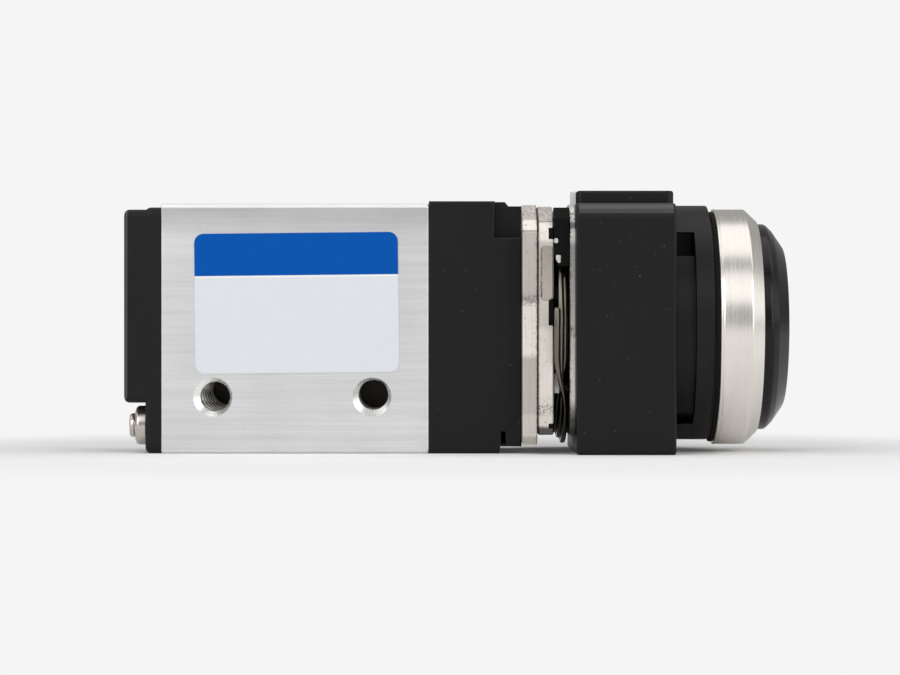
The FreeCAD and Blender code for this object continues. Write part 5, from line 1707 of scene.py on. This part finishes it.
@dataclass
class ButtonHead:
    """Collar, bezel ring, cap and return spring round the button's axis; the gasket is not built
    here.
    """

    finishes: Finishes
    centre: tuple = (0.0, 17.8)
    collar_start: float = 53.0
    flange_start: float = 55.85
    flange_end: float = 58.35
    collar_radius: float = 16.75
    collar_shift: float = 0.6
    flange_rims: tuple = (0.12, 0.15)
    neck: float = 15.3
    lug_low: float = -13.7
    lug_high: float = 13.2
    notch_low: float = 9.85
    notch_floor: float = 6.0
    cavity: float = 9.0
    sleeve: tuple = (
        (58.2, 15.1), (63.7, 15.1), (63.7, 15.95), (58.2, 15.95),
    )
    plug: tuple = (
        (47.4, 3.04), (47.4, 10.5), (47.9, 11.0), (53.05, 11.0), (53.05, 9.0),
        (48.9, 9.0), (48.9, 3.04),
    )
    ring_start: float = 59.2
    ring_bend: float = 63.7
    ring_front: float = 65.65
    ring_radius: float = 16.85
    ring_mouth: float = 14.95
    ring_inner: float = 16.01
    ring_roll: tuple = (0.26, 0.24)
    ring_groove: tuple = (0.46, 0.12)
    ring_rounds: tuple = (0, 0.45, 0.2, 0)
    ring_lip: float = 1.5
    cap_back: float = 62.25
    cap_shoulder: float = 66.75
    cap_front: float = 69.35
    cap_radius: float = 14.7
    cap_inner: float = 13.2
    cap_wall: float = 1.8
    cap_face: float = 11.15
    cap_bevel: tuple = (0.85, 0.95)
    cap_rounds: tuple = (0.2, 0.25, 0.9, 0.08, 0.9, 0, 0, 0.3, 0.3)
    spring_start: float = 49.41
    spring_end: float = 63.5
    spring_radius: float = 6.2
    spring_wire: float = 0.45
    spring_turns: float = 8.0

    def _segment(self, flat: float) -> np.ndarray:
        """Part of the flange's circle beyond a flat, as y and z, anticlockwise.

        Args:
            flat: height of the flat over the axis; below 0 for the lower lug.

        Returns:
            The arc's points; the flat closes it.
        """
        shift = self.collar_shift
        reach = math.acos(abs(flat - shift) / self.collar_radius)
        middle = math.pi / 2 if flat > 0 else -math.pi / 2
        angle = np.linspace(middle - reach, middle + reach, 49)
        arc = self.collar_radius * np.stack((np.cos(angle), np.sin(angle)), axis=-1)
        return arc + np.array((0, self.centre[1] + shift))

    def _neck(self) -> np.ndarray:
        """The neck's circle with a latch notch in front.

        Returns:
            Anticlockwise points over y and z, shaped (121, 2).
        """
        low = math.pi - math.asin(self.notch_low / self.neck)
        high = math.acos(-self.notch_floor / self.neck)
        angle = np.linspace(low - 2 * math.pi, high, 120)
        arc = self.neck * np.stack((np.cos(angle), np.sin(angle)), axis=-1)
        corner = np.array(((-self.notch_floor, self.notch_low),))
        return np.concatenate((arc, corner)) + np.array((0, self.centre[1]))

    def make_collar(self) -> None:
        """Neck, two lugs, the flange, the sleeve inside the ring and the plug in the block."""
        shell = Shell()
        cavity = circle(self.centre, self.cavity)
        lap = self.flange_start + 0.05
        loops = {
            station: [Axis.X.lay(cavity, station)]
            for station in (self.collar_start, lap, self.flange_start, self.flange_end)
        }
        ends = (self.collar_start, lap)
        shell.prism(Axis.X, self._neck(), *ends, holes=(loops[ends[0]], loops[ends[1]]))
        shell.well(Axis.X, self.centre, [(station, self.cavity) for station in ends])
        for flat in (self.lug_low, self.lug_high):
            shell.prism(Axis.X, self._segment(flat), self.collar_start, lap)
        disc = circle((0, self.centre[1] + self.collar_shift), self.collar_radius, 144)
        ends = (self.flange_start, self.flange_end)
        mouths = (loops[ends[0]], loops[ends[1]])
        shell.prism(Axis.X, disc, *ends, self.flange_rims, mouths)
        shell.well(Axis.X, self.centre, [(station, self.cavity) for station in ends])
        for profile in (self.sleeve, self.plug):
            shell.revolve(self.centre, np.array(profile))
        collar = shell.build("collar", self.finishes.black)
        settle(collar, Body.VALVE, "black_plastic", "mounting_collar")

    def make_ring(self) -> None:
        """Ring: rolled rear rim, cylinder and a soft bevel down to the mouth."""
        outer = self.ring_radius
        side = outer - 0.05
        start = self.ring_start
        roll = np.linspace(0, math.pi, 9)[:6, None]
        length, height = self.ring_roll
        stations = start + length - length * np.cos(roll)
        rear = np.concatenate((stations, outer - height + height * np.sin(roll)), axis=-1)
        groove, sunk = self.ring_groove
        neck = ((start + groove, outer - sunk), (start + 0.62, side))
        corners = (
            (start + 0.8, side), (self.ring_bend, side),
            (self.ring_front, self.ring_mouth), (self.ring_front - 0.7, self.ring_mouth),
        )
        front = round_corners(corners, self.ring_rounds, 9)
        lip = self.ring_front - self.ring_lip
        mouth = ((lip, self.ring_mouth), (lip, self.ring_inner), (start, self.ring_inner))
        profile = np.concatenate((rear, neck, front, mouth))
        shell = Shell()
        shell.revolve(self.centre, profile, 192)
        ring = shell.build("bezel", self.finishes.ring)
        settle(ring, Body.VALVE, "satin_nickel", "bezel_ring")

    def make_cap(self) -> None:
        """Cap: straight skirt, bevel with soft corners and a nearly flat face."""
        length, height = self.cap_bevel
        edge = self.cap_shoulder + length
        inside = self.cap_front - self.cap_wall
        corners = (
            (self.cap_back, self.cap_inner), (self.cap_back, self.cap_radius),
            (self.cap_shoulder - 0.1, self.cap_radius), (edge, self.cap_radius - height),
            (self.cap_front - 0.1, self.cap_face + 0.2), (self.cap_front, 0.0),
            (inside, 0.0), (inside, self.cap_face - 1.2),
            (self.cap_shoulder - 0.6, self.cap_inner),
        )
        profile = round_corners(corners, self.cap_rounds, 7)
        shell = Shell()
        shell.revolve(self.centre, profile, 192)
        cap = shell.build("push_cap", self.finishes.cap)
        settle(cap, Body.BUTTON, "cap_plastic", "button_cap")

    def make_spring(self) -> None:
        """Return spring at its pressed length, so that the pressed cap clears it.

        With a = 2 pi n t the wire stands at y = r cos a and z = axis + r sin a; x rises by a
        wire's thickness in the first and the last turn and evenly between them.
        """
        t = np.linspace(0, 1, int(self.spring_turns * 60))
        angle = 2 * math.pi * self.spring_turns * t
        closed = 2 * self.spring_wire + 0.05
        start, end = self.spring_start, self.spring_end
        bends = (0, 1 / self.spring_turns, 1 - 1 / self.spring_turns, 1)
        levels = (start, start + closed, end - closed, end)
        radius = self.spring_radius
        path = np.stack((np.interp(t, bends, levels), radius * np.cos(angle),
                         self.centre[1] + radius * np.sin(angle)), axis=-1)
        shell = Shell()
        shell.wire(path, self.spring_wire)
        settle(shell.build("return_spring", self.finishes.spring), Body.VALVE,
               "spring_steel", "button_spring")


@dataclass
class CarriedNodes:
    """CAD nodes that stay, each with the finish of its slot."""

    finishes: Finishes

    def dress(self, nodes: dict) -> None:
        """Give every shown node its finish by the name of its material slot.

        Args:
            nodes: the frame's nodes by name.
        """
        table = {
            "aluminium": self.finishes.aluminium,
            "label_print": self.finishes.label,
            "black_plastic": self.finishes.black,
            "cap_plastic": self.finishes.cap,
            "nickel_plate": self.finishes.plate,
            "satin_nickel": self.finishes.ring,
            "rubber": self.finishes.rubber,
            "acetal": self.finishes.acetal,
            "spool_alloy": self.finishes.spool,
            "turned_steel": self.finishes.steel,
            "spring_steel": self.finishes.spring,
            "blackened_steel": self.finishes.dark_steel,
            "fastener": self.finishes.fastener,
        }
        for place in nodes["guide_tube"].material_slots:
            place.material = self.finishes.dark_steel
        for name, node in nodes.items():
            if name == "guide_tube":
                continue
            for place in node.material_slots:
                key = place.material.name.split(".")[0] if place.material else ""
                if key in table:
                    place.material = table[key]
                else:
                    LOG.warning("%s has no finish for %r", name, key)


@dataclass
class Studio:
    """Floor, lights, world and camera."""

    floor_half: float = 2.4
    floor_given: float = 0.8
    floor_shown: float = 0.98
    floor_lift: float = 0.05
    shadow_middle: tuple = (22, 0, 0)
    shadow_from: float = 60.0
    shadow_to: float = 110.0
    white: float = 0.915
    ambient: float = 0.17
    mirrored: float = 0.36
    camera_x: float = 0.02172
    camera_y: float = -0.451
    camera_z: float = 0.01625
    lens: float = 125.7
    aim: tuple = (0.022, 0.0, 0.018)
    lamps: tuple = (
        ("overhead", (0.02, 0.06, 0.75), (2.2, 0.66), 4.0),
        ("left_side", (-0.66, -0.75, 0.45), (0.9, 0.8), 3.5),
        ("right_side", (0.76, -0.72, 0.40), (0.9, 0.8), 3.5),
        ("front", (0.03, -0.86, 0.70), (1.7, 0.66), 2.75),
        ("button_side", (0.95, -0.05, 0.27), (0.5, 0.42), 0.56),
    )

    def make_floor(self) -> None:
        """Pale floor that keeps the object's shadow and fades into the white beyond it."""
        half = self.floor_half
        corners = [(-half, -half, 0), (half, -half, 0), (half, half, 0), (-half, half, 0)]
        mesh = bpy.data.meshes.new("floor")
        mesh.from_pydata(corners, [], [(0, 1, 2, 3)])
        floor = bpy.data.objects.new("floor", mesh)
        bpy.context.scene.collection.objects.link(floor)
        graph = Graph("pale_floor")
        spot = graph.spot(centre=self.shadow_middle)
        across = graph.part(spot, 0)
        along = graph.part(spot, 1)
        reach = (across * across + along * along) ** 0.5
        away = reach.between(self.shadow_from, self.shadow_to)
        lit, dim = (
            graph.node("ShaderNodeBsdfDiffuse", {}, {"Color": (level, level, level, 1)})
            for level in (self.floor_given, self.floor_shown)
        )
        glow, part = (
            graph.node("ShaderNodeEmission", {}, {"Color": (1, 1, 1, 1), "Strength": level})
            for level in (self.white, self.floor_lift)
        )
        ray = graph.node("ShaderNodeLightPath").outputs
        seen = graph.number(
            "ShaderNodeMath", {"operation": "MAXIMUM"},
            {0: ray["Is Camera Ray"], 1: ray["Is Glossy Ray"]},
        )
        lifted = graph.node(
            "ShaderNodeAddShader", {}, {0: dim.outputs[0], 1: part.outputs[0]}
        )
        near = graph.node(
            "ShaderNodeMixShader", {}, {0: seen, 1: lit.outputs[0], 2: lifted.outputs[0]}
        )
        whole = graph.node(
            "ShaderNodeMixShader", {}, {0: away * seen, 1: near.outputs[0], 2: glow.outputs[0]}
        )
        graph.tree.links.new(whole.outputs[0], graph.output.inputs[0])
        mesh.materials.append(graph.material)

    def make_world(self) -> None:
        """White for rays that see it, a plain soft level for the light it gives."""
        world = bpy.data.worlds.new("studio")
        world.use_nodes = True
        tree = world.node_tree
        tree.nodes.clear()
        levels = (self.ambient, self.mirrored, self.white)
        backgrounds = []
        for level in levels:
            background = tree.nodes.new("ShaderNodeBackground")
            background.inputs["Color"].default_value = (1, 1, 1, 1)
            background.inputs["Strength"].default_value = level
            backgrounds.append(background.outputs[0])
        ray = tree.nodes.new("ShaderNodeLightPath")
        either = tree.nodes.new("ShaderNodeMath")
        either.operation = "MAXIMUM"
        tree.links.new(ray.outputs["Is Camera Ray"], either.inputs[0])
        tree.links.new(ray.outputs["Is Transmission Ray"], either.inputs[1])
        shown = backgrounds[0]
        factors = (ray.outputs["Is Glossy Ray"], either.outputs[0])
        for factor, background in zip(factors, backgrounds[1:]):
            mix = tree.nodes.new("ShaderNodeMixShader")
            tree.links.new(factor, mix.inputs[0])
            tree.links.new(shown, mix.inputs[1])
            tree.links.new(background, mix.inputs[2])
            shown = mix.outputs[0]
        output = tree.nodes.new("ShaderNodeOutputWorld")
        tree.links.new(shown, output.inputs[0])
        bpy.context.scene.world = world

    def make_light(self, name: str, place: tuple, size: tuple, power: float) -> None:
        """Soft rectangular lamp that looks at the valve.

        Args:
            name: the lamp's name.
            place: where it stands.
            size: its width and height.
            power: its power in watts.
        """
        lamp = bpy.data.lights.new(name, "AREA")
        lamp.shape = "RECTANGLE"
        lamp.size, lamp.size_y = size
        lamp.energy = power
        light = bpy.data.objects.new(name, lamp)
        light.location = place
        course = Vector(self.aim) - Vector(place)
        light.rotation_euler = course.to_track_quat("-Z", "Y").to_euler()
        bpy.context.scene.collection.objects.link(light)

    def make_lights(self) -> None:
        """Large lamp overhead, three in front and a small one beyond the button."""
        for lamp in self.lamps:
            self.make_light(*lamp)

    def make_camera(self) -> None:
        """Level camera in front of the valve."""
        data = bpy.data.cameras.new("camera")
        data.sensor_width = 36.0
        data.lens = self.lens
        camera = bpy.data.objects.new("camera", data)
        camera.location = (self.camera_x, self.camera_y, self.camera_z)
        camera.rotation_euler = (math.pi / 2, 0, 0)
        bpy.context.scene.collection.objects.link(camera)
        bpy.context.scene.camera = camera
        bpy.context.scene.view_settings.view_transform = "Standard"


def main() -> None:
    """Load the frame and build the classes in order."""
    logging.basicConfig(level=logging.INFO, format="%(name)s %(message)s")
    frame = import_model()
    studio = Studio()
    studio.make_camera()
    studio.make_world()
    studio.make_lights()
    studio.make_floor()
    finishes = Finishes()
    CarriedNodes(finishes).dress(frame["nodes"])
    ValveBlock(finishes).make_block()
    EndCover(finishes).make_cover()
    screws = CoverScrews(finishes)
    screws.make_washers()
    screws.make_screws()
    AdapterHousing(finishes).make_housing()
    plates = ClampPlates(finishes)
    plates.make_base()
    plates.make_lock()
    plates.make_backing()
    gap = GapPieces(finishes)
    gap.make_spring()
    gap.make_spacers()
    head = HeadBlock(finishes)
    head.make_block()
    head.make_pad()
    button = ButtonHead(finishes)
    button.make_collar()
    button.make_ring()
    button.make_cap()
    button.make_spring()


if __name__ == "__main__":
    main()
